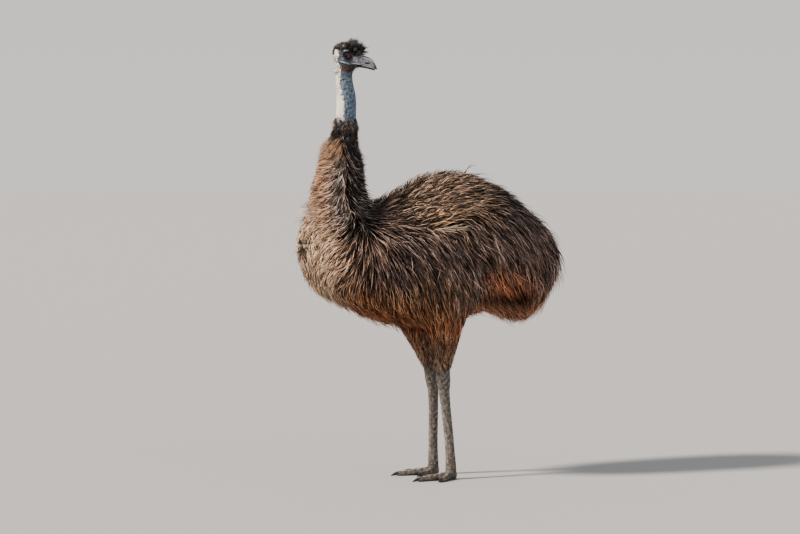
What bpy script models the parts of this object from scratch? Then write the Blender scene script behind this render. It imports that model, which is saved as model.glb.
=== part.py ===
"""A life-size emu, standing still with its head turned right round to look behind it.

Metres, +Z up. The bird faces -Y and its left side is +X. It stands on the floor at z = 0.
The feathered pieces are solid out to the tips of the plumage, and each named piece is a
separate closed solid with a thin gap to its neighbours.
"""

import math

import bmesh
import bpy
import numpy as np
from mathutils import Vector

# ---------------------------------------------------------------- main sizes
BODY_SHIFT_Y = 0.025      # puts the middle of the outline over the origin
GAP = 0.0004              # clearance between neighbouring solids
HEAD_YAW = math.radians(63.0)      # where the bill points, from +X towards +Y
EYE_HEIGHT = 1.643
HEAD_BACK = -0.392        # y of the eye axis of the head, before the shift
EYE_R = 0.0142            # eyeball radius
EYE_OUT = 0.0185          # eyeball centre from the head's midplane
NECK_TOP_CUT = 1.385      # bare neck above, black ruff below
NECK_RUFF_CUT = 1.285     # ruff above, shaggy neck below
TAIL_CUT = 0.345          # y where the hanging tail begins
HOCK_Z = 0.398
STANCE_HOCK = 0.058       # half distance between the hocks
STANCE_FOOT = 0.088       # half distance between the feet
TOE_LENGTHS = {"inner": 0.098, "middle": 0.150, "outer": 0.108}
TOE_ANGLES = {"inner": -34.0, "middle": 2.0, "outer": 36.0}
CLAW_LENGTH = 0.034

# colour, alpha and roughness
COLORS = {
    "plumage": (0.185, 0.125, 0.085, 1, 0.9),
    "ruff": (0.030, 0.025, 0.024, 1, 0.85),
    "bare_skin": (0.30, 0.36, 0.42, 1, 0.6),
    "leg_skin": (0.16, 0.14, 0.125, 1, 0.7),
    "bill": (0.13, 0.12, 0.13, 1, 0.35),
    "claw": (0.03, 0.028, 0.026, 1, 0.35),
    "eye": (0.09, 0.025, 0.012, 1, 0.08),
}


# ---------------------------------------------------------------- helpers
def clear_scene():
    for obj in list(bpy.data.objects):
        bpy.data.objects.remove(obj, do_unlink=True)


def curve_through(pairs):
    """A smooth function through (place, value) pairs that doesn't overshoot them."""
    xs = np.array([p[0] for p in pairs], float)
    ys = np.array([p[1] for p in pairs], float)
    h, d = np.diff(xs), np.diff(ys) / np.diff(xs)
    m = np.zeros(len(xs))
    m[0], m[-1] = d[0], d[-1]
    for i in range(1, len(xs) - 1):
        if d[i - 1] * d[i] > 0:
            w1, w2 = 2 * h[i] + h[i - 1], h[i] + 2 * h[i - 1]
            m[i] = (w1 + w2) / (w1 / d[i - 1] + w2 / d[i])

    def f(x):
        x = min(max(x, xs[0]), xs[-1])
        i = min(int(np.searchsorted(xs, x, side="right")) - 1, len(xs) - 2)
        t = (x - xs[i]) / h[i]
        return float(
            (2 * t**3 - 3 * t**2 + 1) * ys[i]
            + (t**3 - 2 * t**2 + t) * h[i] * m[i]
            + (3 * t**2 - 2 * t**3) * ys[i + 1]
            + (t**3 - t**2) * h[i] * m[i + 1]
        )

    return f


def zigzag(x):
    """A triangle wave from -1 to 1 with period 1."""
    return 4 * abs((x % 1.0) - 0.5) - 1


MATERIALS = {}


def material(name):
    if name not in MATERIALS:
        r, g, b, a, rough = COLORS[name]
        mat = bpy.data.materials.new(name)
        mat.use_nodes = True
        bsdf = mat.node_tree.nodes["Principled BSDF"]
        bsdf.inputs["Base Color"].default_value = (r, g, b, a)
        bsdf.inputs["Roughness"].default_value = rough
        bsdf.inputs["Metallic"].default_value = 0.0
        MATERIALS[name] = mat
    return MATERIALS[name]


def add_object(name, bm, mat=None, cutter=False):
    bmesh.ops.recalc_face_normals(bm, faces=bm.faces)
    mesh = bpy.data.meshes.new(name)
    bm.to_mesh(mesh)
    bm.free()
    if mat:
        mesh.materials.append(material(mat))
    mesh.shade_smooth()
    mesh.set_sharp_from_angle(angle=math.radians(50))
    obj = bpy.data.objects.new(name, mesh)
    bpy.context.scene.collection.objects.link(obj)
    obj.parent = EMU
    if cutter:
        obj.hide_render = True
        obj.display_type = "WIRE"
    return obj


def loft(name, rings, mat=None, cutter=False, tips=(None, None)):
    """Skins a row of rings, all with the same number of points, and closes both ends, each on a tip point where one is given."""
    bm = bmesh.new()
    rows = [[bm.verts.new(p) for p in ring] for ring in rings]
    n = len(rows[0])
    for a, b in zip(rows, rows[1:]):
        for i in range(n):
            j = (i + 1) % n
            bm.faces.new((a[i], a[j], b[j], b[i]))
    for row, tip in ((rows[0], tips[0]), (rows[-1], tips[1])):
        middle = sum((v.co for v in row), Vector()) / n
        top = bm.verts.new(tip if tip is not None else middle)
        for i in range(n):
            bm.faces.new((row[i], row[(i + 1) % n], top))
    bmesh.ops.triangulate(bm, faces=bm.faces)
    return add_object(name, bm, mat, cutter)


def cut(obj, tool, operation="DIFFERENCE"):
    mod = obj.modifiers.new(f"{operation.lower()}_{tool.name}", "BOOLEAN")
    mod.operation = operation
    mod.solver = "EXACT"
    mod.object = tool
    return mod


def box_cutter(name, low, high):
    bm = bmesh.new()
    bmesh.ops.create_cube(bm, size=1.0)
    for v in bm.verts:
        v.co = Vector([(low[k] + high[k]) / 2 + v.co[k] * (high[k] - low[k]) for k in range(3)])
    return add_object(name, bm, cutter=True)


def sphere(name, centre, radius, mat=None, cutter=False, segments=14, rings=8):
    bm = bmesh.new()
    bmesh.ops.create_uvsphere(bm, u_segments=segments, v_segments=rings, radius=radius)
    bmesh.ops.translate(bm, verts=bm.verts, vec=centre)
    return add_object(name, bm, mat, cutter)


# ---------------------------------------------------------------- trunk and tail
# The outline of the plumage from the side, by y: its top, its lower fringe and its half width.
trunk_top = curve_through([
    (-0.583, 0.915), (-0.572, 0.985), (-0.53, 1.035), (-0.44, 1.060), (-0.30, 1.070), (-0.21, 1.101),
    (-0.127, 1.143), (-0.04, 1.184), (0.03, 1.197), (0.12, 1.190), (0.223, 1.163), (0.30, 1.119),
    (0.38, 1.058), (0.43, 1.022), (0.48, 0.978), (0.515, 0.915), (0.530, 0.850),
])
trunk_low = curve_through([
    (-0.583, 0.895), (-0.570, 0.835), (-0.53, 0.760), (-0.46, 0.702), (-0.36, 0.655), (-0.25, 0.617),
    (-0.12, 0.592), (0.0, 0.598), (0.10, 0.622), (0.20, 0.650), (0.27, 0.636), (0.33, 0.610),
    (0.40, 0.626), (0.45, 0.688), (0.50, 0.760), (0.530, 0.835),
])
trunk_half = curve_through([
    (-0.583, 0.010), (-0.570, 0.068), (-0.53, 0.128), (-0.45, 0.172), (-0.35, 0.200), (-0.20, 0.226),
    (0.0, 0.246), (0.10, 0.250), (0.20, 0.246), (0.30, 0.222), (0.40, 0.172), (0.47, 0.118),
    (0.515, 0.060), (0.530, 0.012),
])
TRUNK_LONG = (-0.583, 0.530)


def trunk_ring(y, n, index, swell=0.0):
    """One section of the plumage: narrow and ridged over the back, full and fringed below."""
    top, low, half = trunk_top(y), trunk_low(y), trunk_half(y)
    mid, high = (top + low) / 2, (top - low) / 2
    fade = min(1.0, half / 0.15)
    ring = []
    for k in range(n):
        a = 2 * math.pi * k / n
        across, up = math.sin(a), math.cos(a)
        side = abs(across) ** 0.92 * (1.0 - 0.10 * up) * math.copysign(1, across)
        lock = 0.0065 * fade * zigzag(k / 4.0 + 0.5 * index / 3.0 * math.copysign(1, across) * (1 if k else 0))
        lock *= 1.0 - 0.7 * max(0.0, up) ** 2
        fringe = 0.0055 * fade * (1 if index % 2 else -1) * max(0.0, -up) ** 5
        grow = swell + lock
        x = half * side + grow * across
        z = mid + high * up + grow * up - fringe
        # the parting along the spine is a shallow groove
        z -= 0.010 * fade * math.exp(-((x / 0.022) ** 2)) * (up > 0)
        ring.append(Vector((x, y, z)))
    return ring


def trunk_side(y, z):
    """How far out the plumage reaches at this place on the flank."""
    top, low = trunk_top(y), trunk_low(y)
    up = max(-1.0, min(1.0, (2 * z - top - low) / (top - low)))
    return trunk_half(y) * (1 - up * up) ** 0.46 * (1.0 - 0.10 * up)


def trunk_loft(name, mat=None, cutter=False, swell=0.0, count=30, n=36):
    y0, y1 = TRUNK_LONG
    rings = []
    for i in range(count):
        # stations crowd together at the rounded ends
        t = i / (count - 1)
        y = y0 + (y1 - y0) * (0.70 * t + 0.30 * (0.5 - 0.5 * math.cos(math.pi * t)))
        rings.append(trunk_ring(y, n, i, swell))
    tips = (Vector((0, y0 - 0.003 - swell, 0.895)), Vector((0, y1 + 0.004 + swell, 0.845)))
    return loft(name, rings, mat, cutter, tips)


# ---------------------------------------------------------------- neck
# Centre of the plumage and its radius by height. The bare upper neck is a slim upright column.
neck_y = curve_through([
    (0.86, -0.385), (0.98, -0.412), (1.045, -0.420), (1.10, -0.424), (1.16, -0.426), (1.22, -0.4145), (1.285, -0.4145),
    (1.335, -0.4035), (1.385, -0.3930), (1.474, -0.3915), (1.552, -0.4005), (1.60, -0.402), (1.64, -0.402),
])
neck_x = curve_through([(0.86, 0.0), (1.10, 0.0), (1.25, -0.003), (1.40, -0.003), (1.55, -0.002), (1.64, -0.003)])
neck_r = curve_through([
    (0.86, 0.128), (0.98, 0.148), (1.045, 0.133), (1.10, 0.117), (1.16, 0.105), (1.22, 0.093), (1.285, 0.0705),
    (1.335, 0.0575), (1.385, 0.0435), (1.43, 0.0415), (1.474, 0.0400), (1.552, 0.0338), (1.60, 0.0325), (1.635, 0.024),
])


def neck_loft(name, z0, z1, mat=None, cutter=False, swell=0.0, count=12, n=22, locks=0.0):
    rings = []
    for i in range(count):
        z = z0 + (z1 - z0) * i / (count - 1)
        r = neck_r(z)
        z += swell * (1 if i == count - 1 else -1 if i == 0 else 0)
        ring = []
        for k in range(n):
            a = 2 * math.pi * k / n
            grow = r + swell + locks * (r / 0.1) * zigzag(k / 4.0 + 0.5 * i / 2.0)
            ring.append(Vector((neck_x(z) + grow * math.sin(a) * 0.96, neck_y(z) - grow * math.cos(a), z)))
        rings.append(ring)
    return loft(name, rings, mat, cutter)


# ---------------------------------------------------------------- head, in its own axes
# u runs forward along the bill, v to the head's left and w up, in centimetres from the eye axis.
def head_point(u, v, w):
    c, s = math.cos(HEAD_YAW), math.sin(HEAD_YAW)
    return Vector((
        (u * c - v * s) / 100.0,
        HEAD_BACK + (u * s + v * c) / 100.0,
        EYE_HEIGHT + w / 100.0,
    ))


skull_top = curve_through([(-5.9, 1.4), (-5.5, 2.5), (-4.6, 3.5), (-3.6, 4.1), (-2.0, 4.45), (0.0, 4.50), (1.8, 3.75), (3.5, 2.35), (5.0, 0.75)])
skull_low = curve_through([(-5.9, -0.6), (-5.5, -1.5), (-4.6, -2.5), (-3.6, -3.2), (-2.0, -3.85), (0.0, -4.15), (2.0, -4.35), (5.0, -4.55)])
skull_half = curve_through([(-5.9, 0.7), (-5.5, 1.5), (-4.6, 2.2), (-3.6, 2.65), (-2.0, 3.0), (0.0, 3.05), (2.0, 2.72), (3.5, 2.36), (5.0, 2.02)])
BILL_BASE = 5.0


def head_loft(name, mat=None, cutter=False, swell=0.0, n=22):
    """swell is in metres."""
    stations = [-5.9, -5.6, -5.0, -4.2, -3.2, -2.1, -1.0, 0.1, 1.2, 2.3, 3.4, 4.3, BILL_BASE]
    g = swell * 100.0
    rings = []
    for i, u in enumerate(stations):
        top, low, half = skull_top(u), skull_low(u), skull_half(u)
        mid, high = (top + low) / 2, (top - low) / 2
        ring = []
        for k in range(n):
            a = 2 * math.pi * k / n
            across, up = math.sin(a), math.cos(a)
            side = math.copysign(abs(across) ** 0.90, across)
            # brow above the eye and a hollow below it
            brow = 0.16 * math.exp(-(((u + 0.2) / 1.9) ** 2) - (((high * up + mid) - 1.9) / 0.7) ** 2)
            hollow = -0.20 * math.exp(-(((u - 2.2) / 1.6) ** 2) - (((high * up + mid) + 1.6) / 0.9) ** 2)
            x = half * side + (brow + hollow + g) * across
            ring.append(head_point(u + (g if i == len(stations) - 1 else 0), x, mid + (high + g) * up))
        rings.append(ring)
    return loft(name, rings, mat, cutter, (head_point(-6.0 - g, 0, 0.4), None))


ridge = curve_through([(5.03, 0.70), (6.2, 0.15), (7.6, -0.35), (8.8, -0.85), (9.7, -1.55), (10.5, -2.60), (11.05, -3.65), (11.4, -4.55)])
mouth = curve_through([(4.4, -3.52), (7.0, -3.78), (9.0, -4.15), (10.4, -4.62), (11.4, -5.15)])
chin = curve_through([(5.0, -4.52), (7.0, -4.62), (9.0, -4.82), (10.3, -5.05), (10.9, -5.22)])
bill_half = curve_through([(5.0, 2.0), (6.5, 1.68), (8.0, 1.36), (9.5, 0.98), (10.5, 0.66), (11.1, 0.40), (11.4, 0.20)])


def bill_upper_loft(name, mat=None):
    """A deep keeled bill: a narrow ridge on top, flaring to the cutting edges."""
    rings = []
    for i in range(12):
        t = i / 11
        u = BILL_BASE + 0.04 + (11.38 - BILL_BASE - 0.04) * (t ** 0.85)
        top, low, half = ridge(u), mouth(u) + 0.02, bill_half(u)
        ring = []
        for k in range(12):
            a = 2 * math.pi * k / 12
            across, up = math.sin(a), math.cos(a)
            t2 = (1 + up) / 2
            width = half * (1.0 - 0.55 * t2**1.3) * abs(across) ** 0.75
            ring.append(head_point(u, math.copysign(width, across), low + (top - low) * t2 ** 0.9))
        rings.append(ring)
    return loft(name, rings, mat, tips=(None, head_point(11.50, 0, -5.00)))


def bill_lower_loft(name, mat=None):
    """The thin lower bill, a shallow scoop under the upper one."""
    rings = []
    for i in range(8):
        t = i / 7
        u = BILL_BASE + 0.04 + (10.85 - BILL_BASE - 0.04) * (t ** 0.9)
        top, low, half = mouth(u) - 0.03, chin(u), bill_half(u) * 0.93
        ring = []
        for k in range(10):
            a = 2 * math.pi * k / 10
            across, up = math.sin(a), math.cos(a)
            ring.append(head_point(u, half * math.copysign(abs(across) ** 0.8, across), (top + low) / 2 + (top - low) / 2 * up))
        rings.append(ring)
    return loft(name, rings, mat, tips=(None, head_point(10.97, 0, -5.14)))


def crest_loft(name, mat=None):
    """The bristly black cap of the crown, from the forehead to the nape."""
    crest_top = curve_through([(-5.4, 2.9), (-5.0, 4.0), (-4.2, 4.9), (-2.0, 5.55), (0.5, 5.95), (3.5, 6.1), (5.6, 5.4), (7.0, 4.0), (8.0, 2.2)])
    crest_low = curve_through([(-5.4, 1.6), (-5.0, 0.9), (-4.2, 0.9), (-2.0, 2.0), (0.5, 2.4), (2.0, 1.6), (4.0, 0.9), (6.0, 0.85), (8.0, 1.2)])
    crest_half = curve_through([(-5.4, 0.5), (-5.0, 1.3), (-4.2, 2.2), (-2.0, 2.95), (0.5, 3.15), (3.5, 2.75), (6.0, 2.0), (7.3, 1.3), (8.0, 0.7)])
    rings = []
    for i in range(10):
        u = -5.4 + 13.4 * i / 9
        top, low, half = crest_top(u), crest_low(u), crest_half(u)
        ring = []
        for k in range(14):
            a = 2 * math.pi * k / 14
            grow = 0.10 * zigzag(k / 2.0 + 0.5 * i)
            ring.append(head_point(u, (half + grow) * math.sin(a), (top + low) / 2 + ((top - low) / 2 + grow) * math.cos(a)))
        rings.append(ring)
    return loft(name, rings, mat)


# ---------------------------------------------------------------- legs
def limb_loft(name, axis, size, z0, z1, count, n, mat=None, cutter=False, swell=0.0, locks=0.0, flat=False):
    """axis(z) gives x, y and size(z) gives half width across and half depth fore and aft."""
    rings = []
    for i in range(count):
        z = z0 + (z1 - z0) * i / (count - 1)
        cx, cy = axis(z)
        a0, b0 = size(z)
        ring = []
        for k in range(n):
            a = 2 * math.pi * k / n
            grow = swell + locks * zigzag(k / 4.0 + 0.5 * i / 2.0)
            ring.append(Vector((cx + (a0 + grow) * math.sin(a), cy - (b0 + grow) * math.cos(a), z)))
        rings.append(ring)
    return loft(name, rings, mat, cutter)


def leg_axis(side):
    x = curve_through([(0.0, STANCE_FOOT), (0.06, STANCE_FOOT - 0.001), (HOCK_Z, STANCE_HOCK), (0.545, 0.110), (0.66, 0.132), (0.80, 0.140)])
    y = curve_through([(0.0, 0.020), (0.07, 0.018), (HOCK_Z, -0.001), (0.545, -0.020), (0.66, -0.045), (0.80, -0.060)])
    ahead = -0.003 if side > 0 else 0.011      # the right foot stands a little further back
    return lambda z: (side * x(z), y(z) + ahead * min(1.0, (0.62 - min(z, 0.62)) / 0.3))


thigh_w = curve_through([(0.428, 0.026), (0.46, 0.031), (0.50, 0.037), (0.545, 0.047), (0.60, 0.062), (0.66, 0.068), (0.75, 0.056)])
thigh_d = curve_through([(0.428, 0.0305), (0.46, 0.034), (0.50, 0.039), (0.545, 0.050), (0.60, 0.072), (0.66, 0.108), (0.75, 0.105)])
shank_w = curve_through([(0.0, 0.0185), (0.03, 0.0205), (0.06, 0.0185), (0.12, 0.0158), (0.25, 0.0155), (0.34, 0.0180), (0.385, 0.0228), (0.41, 0.0235), (0.428, 0.0225)])
shank_d = curve_through([(0.0, 0.0200), (0.03, 0.0225), (0.06, 0.0210), (0.12, 0.0190), (0.25, 0.0195), (0.34, 0.0225), (0.385, 0.0290), (0.41, 0.0290), (0.428, 0.0270)])
FOOT_TOP = 0.052


def toe_loft(name, root, heading, length, mat=None, cutter=False, swell=0.0, n=10):
    """A toe with swollen pads, flat underneath where it stands."""
    rings = []
    fwd = Vector((math.sin(heading), -math.cos(heading), 0))
    across = Vector((math.cos(heading), math.sin(heading), 0))
    count = 9
    for i in range(count):
        t = i / (count - 1)
        pad = 1.0 + 0.07 * math.cos(2 * math.pi * (t * 3.0 + 0.1))
        half = (0.0155 * (1 - t) + 0.0095 * t) * pad + swell
        high = (0.034 * (1 - t) ** 1.3 + 0.0175 * t + 0.002) * (0.5 + 0.5 * pad) + swell
        if i == count - 1:
            half, high = half * 0.72, high * 0.8
        ring = []
        for k in range(n):
            a = 2 * math.pi * k / n
            z = high * (0.44 + 0.56 * math.cos(a)) if math.cos(a) > 0 else high * 0.44 * (1 + 1.3 * math.cos(a))
            z = max(z, 0.0)
            side = math.copysign(abs(math.sin(a)) ** 0.85, math.sin(a)) * half
            ring.append(root + fwd * (length * t) + across * side + Vector((0, 0, z)))
        rings.append(ring)
    return loft(name, rings, mat, cutter)


def claw_loft(name, root, heading, length, mat=None):
    """A blunt curved claw that reaches down to the floor."""
    fwd = Vector((math.sin(heading), -math.cos(heading), 0))
    across = Vector((math.cos(heading), math.sin(heading), 0))
    rings = []
    for i in range(4):
        t = i / 4
        half = 0.0066 * (1 - t**1.6)
        top = 0.0150 * (1 - t**2.0) + 0.0028
        low = 0.0035 * (1 - t) + 0.0006
        ring = []
        for k in range(8):
            a = 2 * math.pi * k / 8
            ring.append(root + fwd * (length * t) + across * (half * math.sin(a)) + Vector((0, 0, (top + low) / 2 + (top - low) / 2 * math.cos(a))))
        rings.append(ring)
    return loft(name, rings, mat, tips=(None, root + fwd * length + Vector((0, 0, 0.0012))))


# ---------------------------------------------------------------- wings
def wing_loft(name, side, mat=None, cutter=False, swell=0.0):
    """The tiny wing, a limp flap folded down against the front of the flank, sunk in the plumage."""
    rings = []
    for i in range(9):
        t = i / 8
        y = -0.250 + 0.190 * t
        z = 0.975 - 0.075 * t - 0.06 * t * t
        end = 1.0 if 0 < i < 8 else 0.45
        long = (0.018 + 0.030 * math.sin(math.pi * (0.10 + 0.80 * t))) * end
        thick = (0.011 + 0.005 * math.sin(math.pi * t)) * end
        ring = []
        for k in range(10):
            a = 2 * math.pi * k / 10
            up = (long + swell) * math.sin(a)
            x = trunk_side(y, z + up) - 0.004 + (thick + swell) * math.cos(a)
            ring.append(Vector((side * x, y + (swell if i == 8 else -swell if i == 0 else 0), z + up)))
        rings.append(ring)
    return loft(name, rings, mat, cutter)


# ---------------------------------------------------------------- build
clear_scene()
EMU = bpy.data.objects.new("emu", None)
bpy.context.scene.collection.objects.link(EMU)
EMU.location = (0, BODY_SHIFT_Y, 0)

# trunk, tail and wings share one outline, parted by thin cuts
trunk = trunk_loft("trunk", "plumage")
tail = trunk_loft("tail", "plumage")
neck_tool = neck_loft("neck_tool", 0.90, NECK_RUFF_CUT, cutter=True, swell=GAP, count=12, locks=0.0040)
cut(trunk, neck_tool)
cut(trunk, box_cutter("tail_side_tool", (-0.5, TAIL_CUT - GAP / 2, 0.4), (0.5, 0.8, 1.4)))
cut(tail, box_cutter("trunk_side_tool", (-0.5, -0.9, 0.4), (0.5, TAIL_CUT + GAP / 2, 1.4)))
for side, word in ((1, "left"), (-1, "right")):
    wing_loft(f"wing_{word}", side, "plumage")
    cut(trunk, wing_loft(f"wing_tool_{word}", side, cutter=True, swell=GAP))

# neck
neck_loft("neck_lower", 0.90, NECK_RUFF_CUT - GAP / 2, "plumage", count=12, locks=0.0040)
neck_loft("neck_ruff", NECK_RUFF_CUT + GAP / 2, NECK_TOP_CUT - GAP / 2, "ruff", count=5, locks=0.0030)
head_tool = head_loft("head_tool", cutter=True, swell=GAP)
neck_upper = neck_loft("neck_upper", NECK_TOP_CUT + GAP / 2, 1.632, "bare_skin", count=8)
cut(neck_upper, head_tool)

# head
head = head_loft("head", "bare_skin")
bill_upper_loft("bill_upper", "bill")
bill_lower_loft("bill_lower", "bill")
crest = crest_loft("crest", "ruff")
cut(crest, head_tool)
for side, word in ((1, "left"), (-1, "right")):
    place = head_point(0.0, side * EYE_OUT * 100, 0.0)
    sphere(f"eye_{word}", place, EYE_R, "eye")
    tool = sphere(f"eye_tool_{word}", place, EYE_R + GAP, cutter=True)
    cut(head, tool)

# legs
trunk_tool = trunk_loft("trunk_tool", cutter=True, swell=GAP * 1.5)
for side, word in ((1, "left"), (-1, "right")):
    axis = leg_axis(side)
    thigh = limb_loft(f"drumstick_{word}", axis, lambda z: (thigh_w(z), thigh_d(z)), 0.428 + GAP / 2, 0.73, 10, 16, "plumage", locks=0.0016)
    cut(thigh, trunk_tool)
    limb_loft(f"shank_{word}", axis, lambda z: (shank_w(z), shank_d(z)), FOOT_TOP + GAP / 2, 0.428 - GAP / 2, 11, 14, "leg_skin")
    foot = limb_loft(f"foot_{word}", axis, lambda z: (shank_w(z), shank_d(z)), 0.0, FOOT_TOP - GAP / 2, 4, 14, "leg_skin")
    fx, fy = axis(0.0)
    for toe in ("middle", "inner", "outer"):
        heading = math.radians(side * (TOE_ANGLES[toe] + 4.0))
        fwd = Vector((math.sin(heading), -math.cos(heading), 0))
        root = Vector((fx, fy, 0)) - fwd * 0.004
        cut(foot, toe_loft(f"toe_{toe}_{word}", root, heading, TOE_LENGTHS[toe], cutter=True), "UNION")
        tip = root + fwd * (TOE_LENGTHS[toe] + GAP)
        claw_loft(f"claw_{toe}_{word}", tip, heading, CLAW_LENGTH * (1.0 if toe == "middle" else 0.8), "claw")
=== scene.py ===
import math

import bmesh
import bpy
import numpy as np
from mathutils import Matrix, Vector
from mathutils.kdtree import KDTree


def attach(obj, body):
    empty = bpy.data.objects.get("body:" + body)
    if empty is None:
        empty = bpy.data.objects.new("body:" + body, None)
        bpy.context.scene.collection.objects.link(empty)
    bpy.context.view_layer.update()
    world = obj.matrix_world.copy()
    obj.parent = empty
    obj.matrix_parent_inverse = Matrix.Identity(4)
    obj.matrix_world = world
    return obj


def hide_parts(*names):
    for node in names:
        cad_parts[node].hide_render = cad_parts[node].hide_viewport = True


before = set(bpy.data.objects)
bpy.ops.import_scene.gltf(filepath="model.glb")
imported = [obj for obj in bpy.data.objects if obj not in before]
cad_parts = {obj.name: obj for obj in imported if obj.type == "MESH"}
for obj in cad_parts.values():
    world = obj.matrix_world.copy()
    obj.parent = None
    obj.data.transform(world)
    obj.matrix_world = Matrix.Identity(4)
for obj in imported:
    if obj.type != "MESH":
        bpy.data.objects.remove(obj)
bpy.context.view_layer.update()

RNG = np.random.RandomState(20571)
SHIFT = np.array([0.0, 0.025, 0.0])      # from the bird's own axes to the frame's origin
HEAD_YAW = math.radians(63.0)
EYE_HEIGHT, HEAD_BACK = 1.643, -0.392
EYE_C, EYE_A = (0.02, 1.88, -0.15), (1.55, 1.14, 1.55)      # centre and half sizes of the visible eyeball, centimetres
F = np.float64


# ================================================================ curves and fields
class Curve:
    """A smooth function through (place, value) pairs that doesn't overshoot them."""

    def __init__(self, pairs):
        xs = np.array([p[0] for p in pairs], F)
        ys = np.array([p[1] for p in pairs], F)
        h, d = np.diff(xs), np.diff(ys) / np.diff(xs)
        m = np.zeros(len(xs))
        m[0], m[-1] = d[0], d[-1]
        for i in range(1, len(xs) - 1):
            if d[i - 1] * d[i] > 0:
                w1, w2 = 2 * h[i] + h[i - 1], h[i] + 2 * h[i - 1]
                m[i] = (w1 + w2) / (w1 / d[i - 1] + w2 / d[i])
        self.x = np.linspace(xs[0], xs[-1], 700)
        i = np.clip(np.searchsorted(xs, self.x, side="right") - 1, 0, len(xs) - 2)
        t = (self.x - xs[i]) / h[i]
        self.y = (
            (2 * t**3 - 3 * t**2 + 1) * ys[i] + (t**3 - 2 * t**2 + t) * h[i] * m[i]
            + (3 * t**2 - 2 * t**3) * ys[i + 1] + (t**3 - t**2) * h[i] * m[i + 1]
        )
        self.s = np.gradient(self.y, self.x)

    def __call__(self, x):
        return np.interp(x, self.x, self.y)

    def d(self, x):
        return np.interp(x, self.x, self.s)


def step(a, b, x):
    t = np.clip((np.asarray(x, F) - a) / (b - a), 0.0, 1.0)
    return t * t * (3 - 2 * t)


def bell(x, mid, width):
    return np.exp(-(((np.asarray(x, F) - mid) / width) ** 2))


def unit(v):
    return v / np.maximum(np.linalg.norm(v, axis=-1, keepdims=True), 1e-9)


def waves(p, size, seed, octaves=2):
    """Smooth wandering noise in about -1 to 1, with features of this size."""
    r = np.random.RandomState(seed)
    out = np.zeros(len(p))
    amp = 1.0
    for o in range(octaves):
        for _ in range(7):
            k = r.normal(size=3)
            k *= 2 * math.pi / (size * r.uniform(0.75, 1.5) * np.linalg.norm(k)) * (2.1**o)
            out += amp * np.sin(p @ k + r.uniform(0, 7))
        amp *= 0.55
    return out / 3.2


def smin(a, b, k):
    """Smooth union of two (distance, gradient) fields."""
    h = np.clip(0.5 + 0.5 * (b[0] - a[0]) / k, 0, 1)
    d = b[0] + (a[0] - b[0]) * h - k * h * (1 - h)
    return d, b[1] + (a[1] - b[1]) * h[:, None]


# outline of the plumage, the same as the solids'
TOP = Curve([
    (-0.583, 0.915), (-0.572, 0.985), (-0.53, 1.035), (-0.44, 1.060), (-0.30, 1.070), (-0.21, 1.101),
    (-0.127, 1.143), (-0.04, 1.184), (0.03, 1.197), (0.12, 1.190), (0.223, 1.163), (0.30, 1.119),
    (0.38, 1.058), (0.43, 1.022), (0.48, 0.978), (0.515, 0.915), (0.530, 0.850)])
LOW = Curve([
    (-0.583, 0.895), (-0.570, 0.835), (-0.53, 0.760), (-0.46, 0.702), (-0.36, 0.655), (-0.25, 0.617),
    (-0.12, 0.592), (0.0, 0.598), (0.10, 0.622), (0.20, 0.650), (0.27, 0.636), (0.33, 0.610),
    (0.40, 0.626), (0.45, 0.688), (0.50, 0.760), (0.530, 0.835)])
HALF = Curve([
    (-0.583, 0.010), (-0.570, 0.068), (-0.53, 0.128), (-0.45, 0.172), (-0.35, 0.200), (-0.20, 0.226),
    (0.0, 0.246), (0.10, 0.250), (0.20, 0.246), (0.30, 0.222), (0.40, 0.172), (0.47, 0.118),
    (0.515, 0.060), (0.530, 0.012)])
NECK_Y = Curve([
    (0.86, -0.385), (0.98, -0.412), (1.045, -0.420), (1.10, -0.424), (1.16, -0.426), (1.22, -0.4145), (1.285, -0.4145),
    (1.335, -0.4035), (1.385, -0.3930), (1.474, -0.3915), (1.552, -0.4005), (1.60, -0.402), (1.64, -0.402)])
NECK_X = Curve([(0.86, 0.0), (1.10, 0.0), (1.25, -0.003), (1.40, -0.003), (1.55, -0.002), (1.64, -0.003)])
NECK_COAT = Curve([
    (0.86, 0.128), (0.98, 0.148), (1.045, 0.133), (1.10, 0.117), (1.16, 0.105), (1.22, 0.093), (1.285, 0.0705),
    (1.335, 0.0575), (1.385, 0.0435), (1.43, 0.0415), (1.474, 0.0400), (1.552, 0.0338), (1.60, 0.0325), (1.64, 0.029)])
NECK_SKIN = Curve([
    (0.86, 0.085), (0.98, 0.076), (1.045, 0.066), (1.10, 0.059), (1.16, 0.053), (1.22, 0.048), (1.285, 0.0435),
    (1.335, 0.0405), (1.385, 0.0385), (1.43, 0.0385), (1.474, 0.0380), (1.552, 0.0325), (1.60, 0.0312), (1.64, 0.028)])
LEG_X = Curve([(0.0, 0.088), (0.06, 0.087), (0.398, 0.058), (0.545, 0.110), (0.66, 0.132), (0.80, 0.140)])
LEG_Y = Curve([(0.0, 0.020), (0.07, 0.018), (0.398, -0.001), (0.545, -0.020), (0.66, -0.045), (0.80, -0.060)])
LEG_W = Curve([
    (0.0, 0.0185), (0.03, 0.0205), (0.06, 0.0185), (0.12, 0.0158), (0.25, 0.0155), (0.34, 0.0180), (0.385, 0.0228),
    (0.41, 0.0235), (0.428, 0.0230), (0.46, 0.031), (0.50, 0.037), (0.545, 0.047), (0.60, 0.062), (0.66, 0.068), (0.75, 0.056)])
LEG_D = Curve([
    (0.0, 0.0200), (0.03, 0.0225), (0.06, 0.0210), (0.12, 0.0190), (0.25, 0.0195), (0.34, 0.0225), (0.385, 0.0290),
    (0.41, 0.0290), (0.428, 0.0280), (0.46, 0.034), (0.50, 0.039), (0.545, 0.050), (0.60, 0.072), (0.66, 0.108), (0.75, 0.105)])
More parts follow.
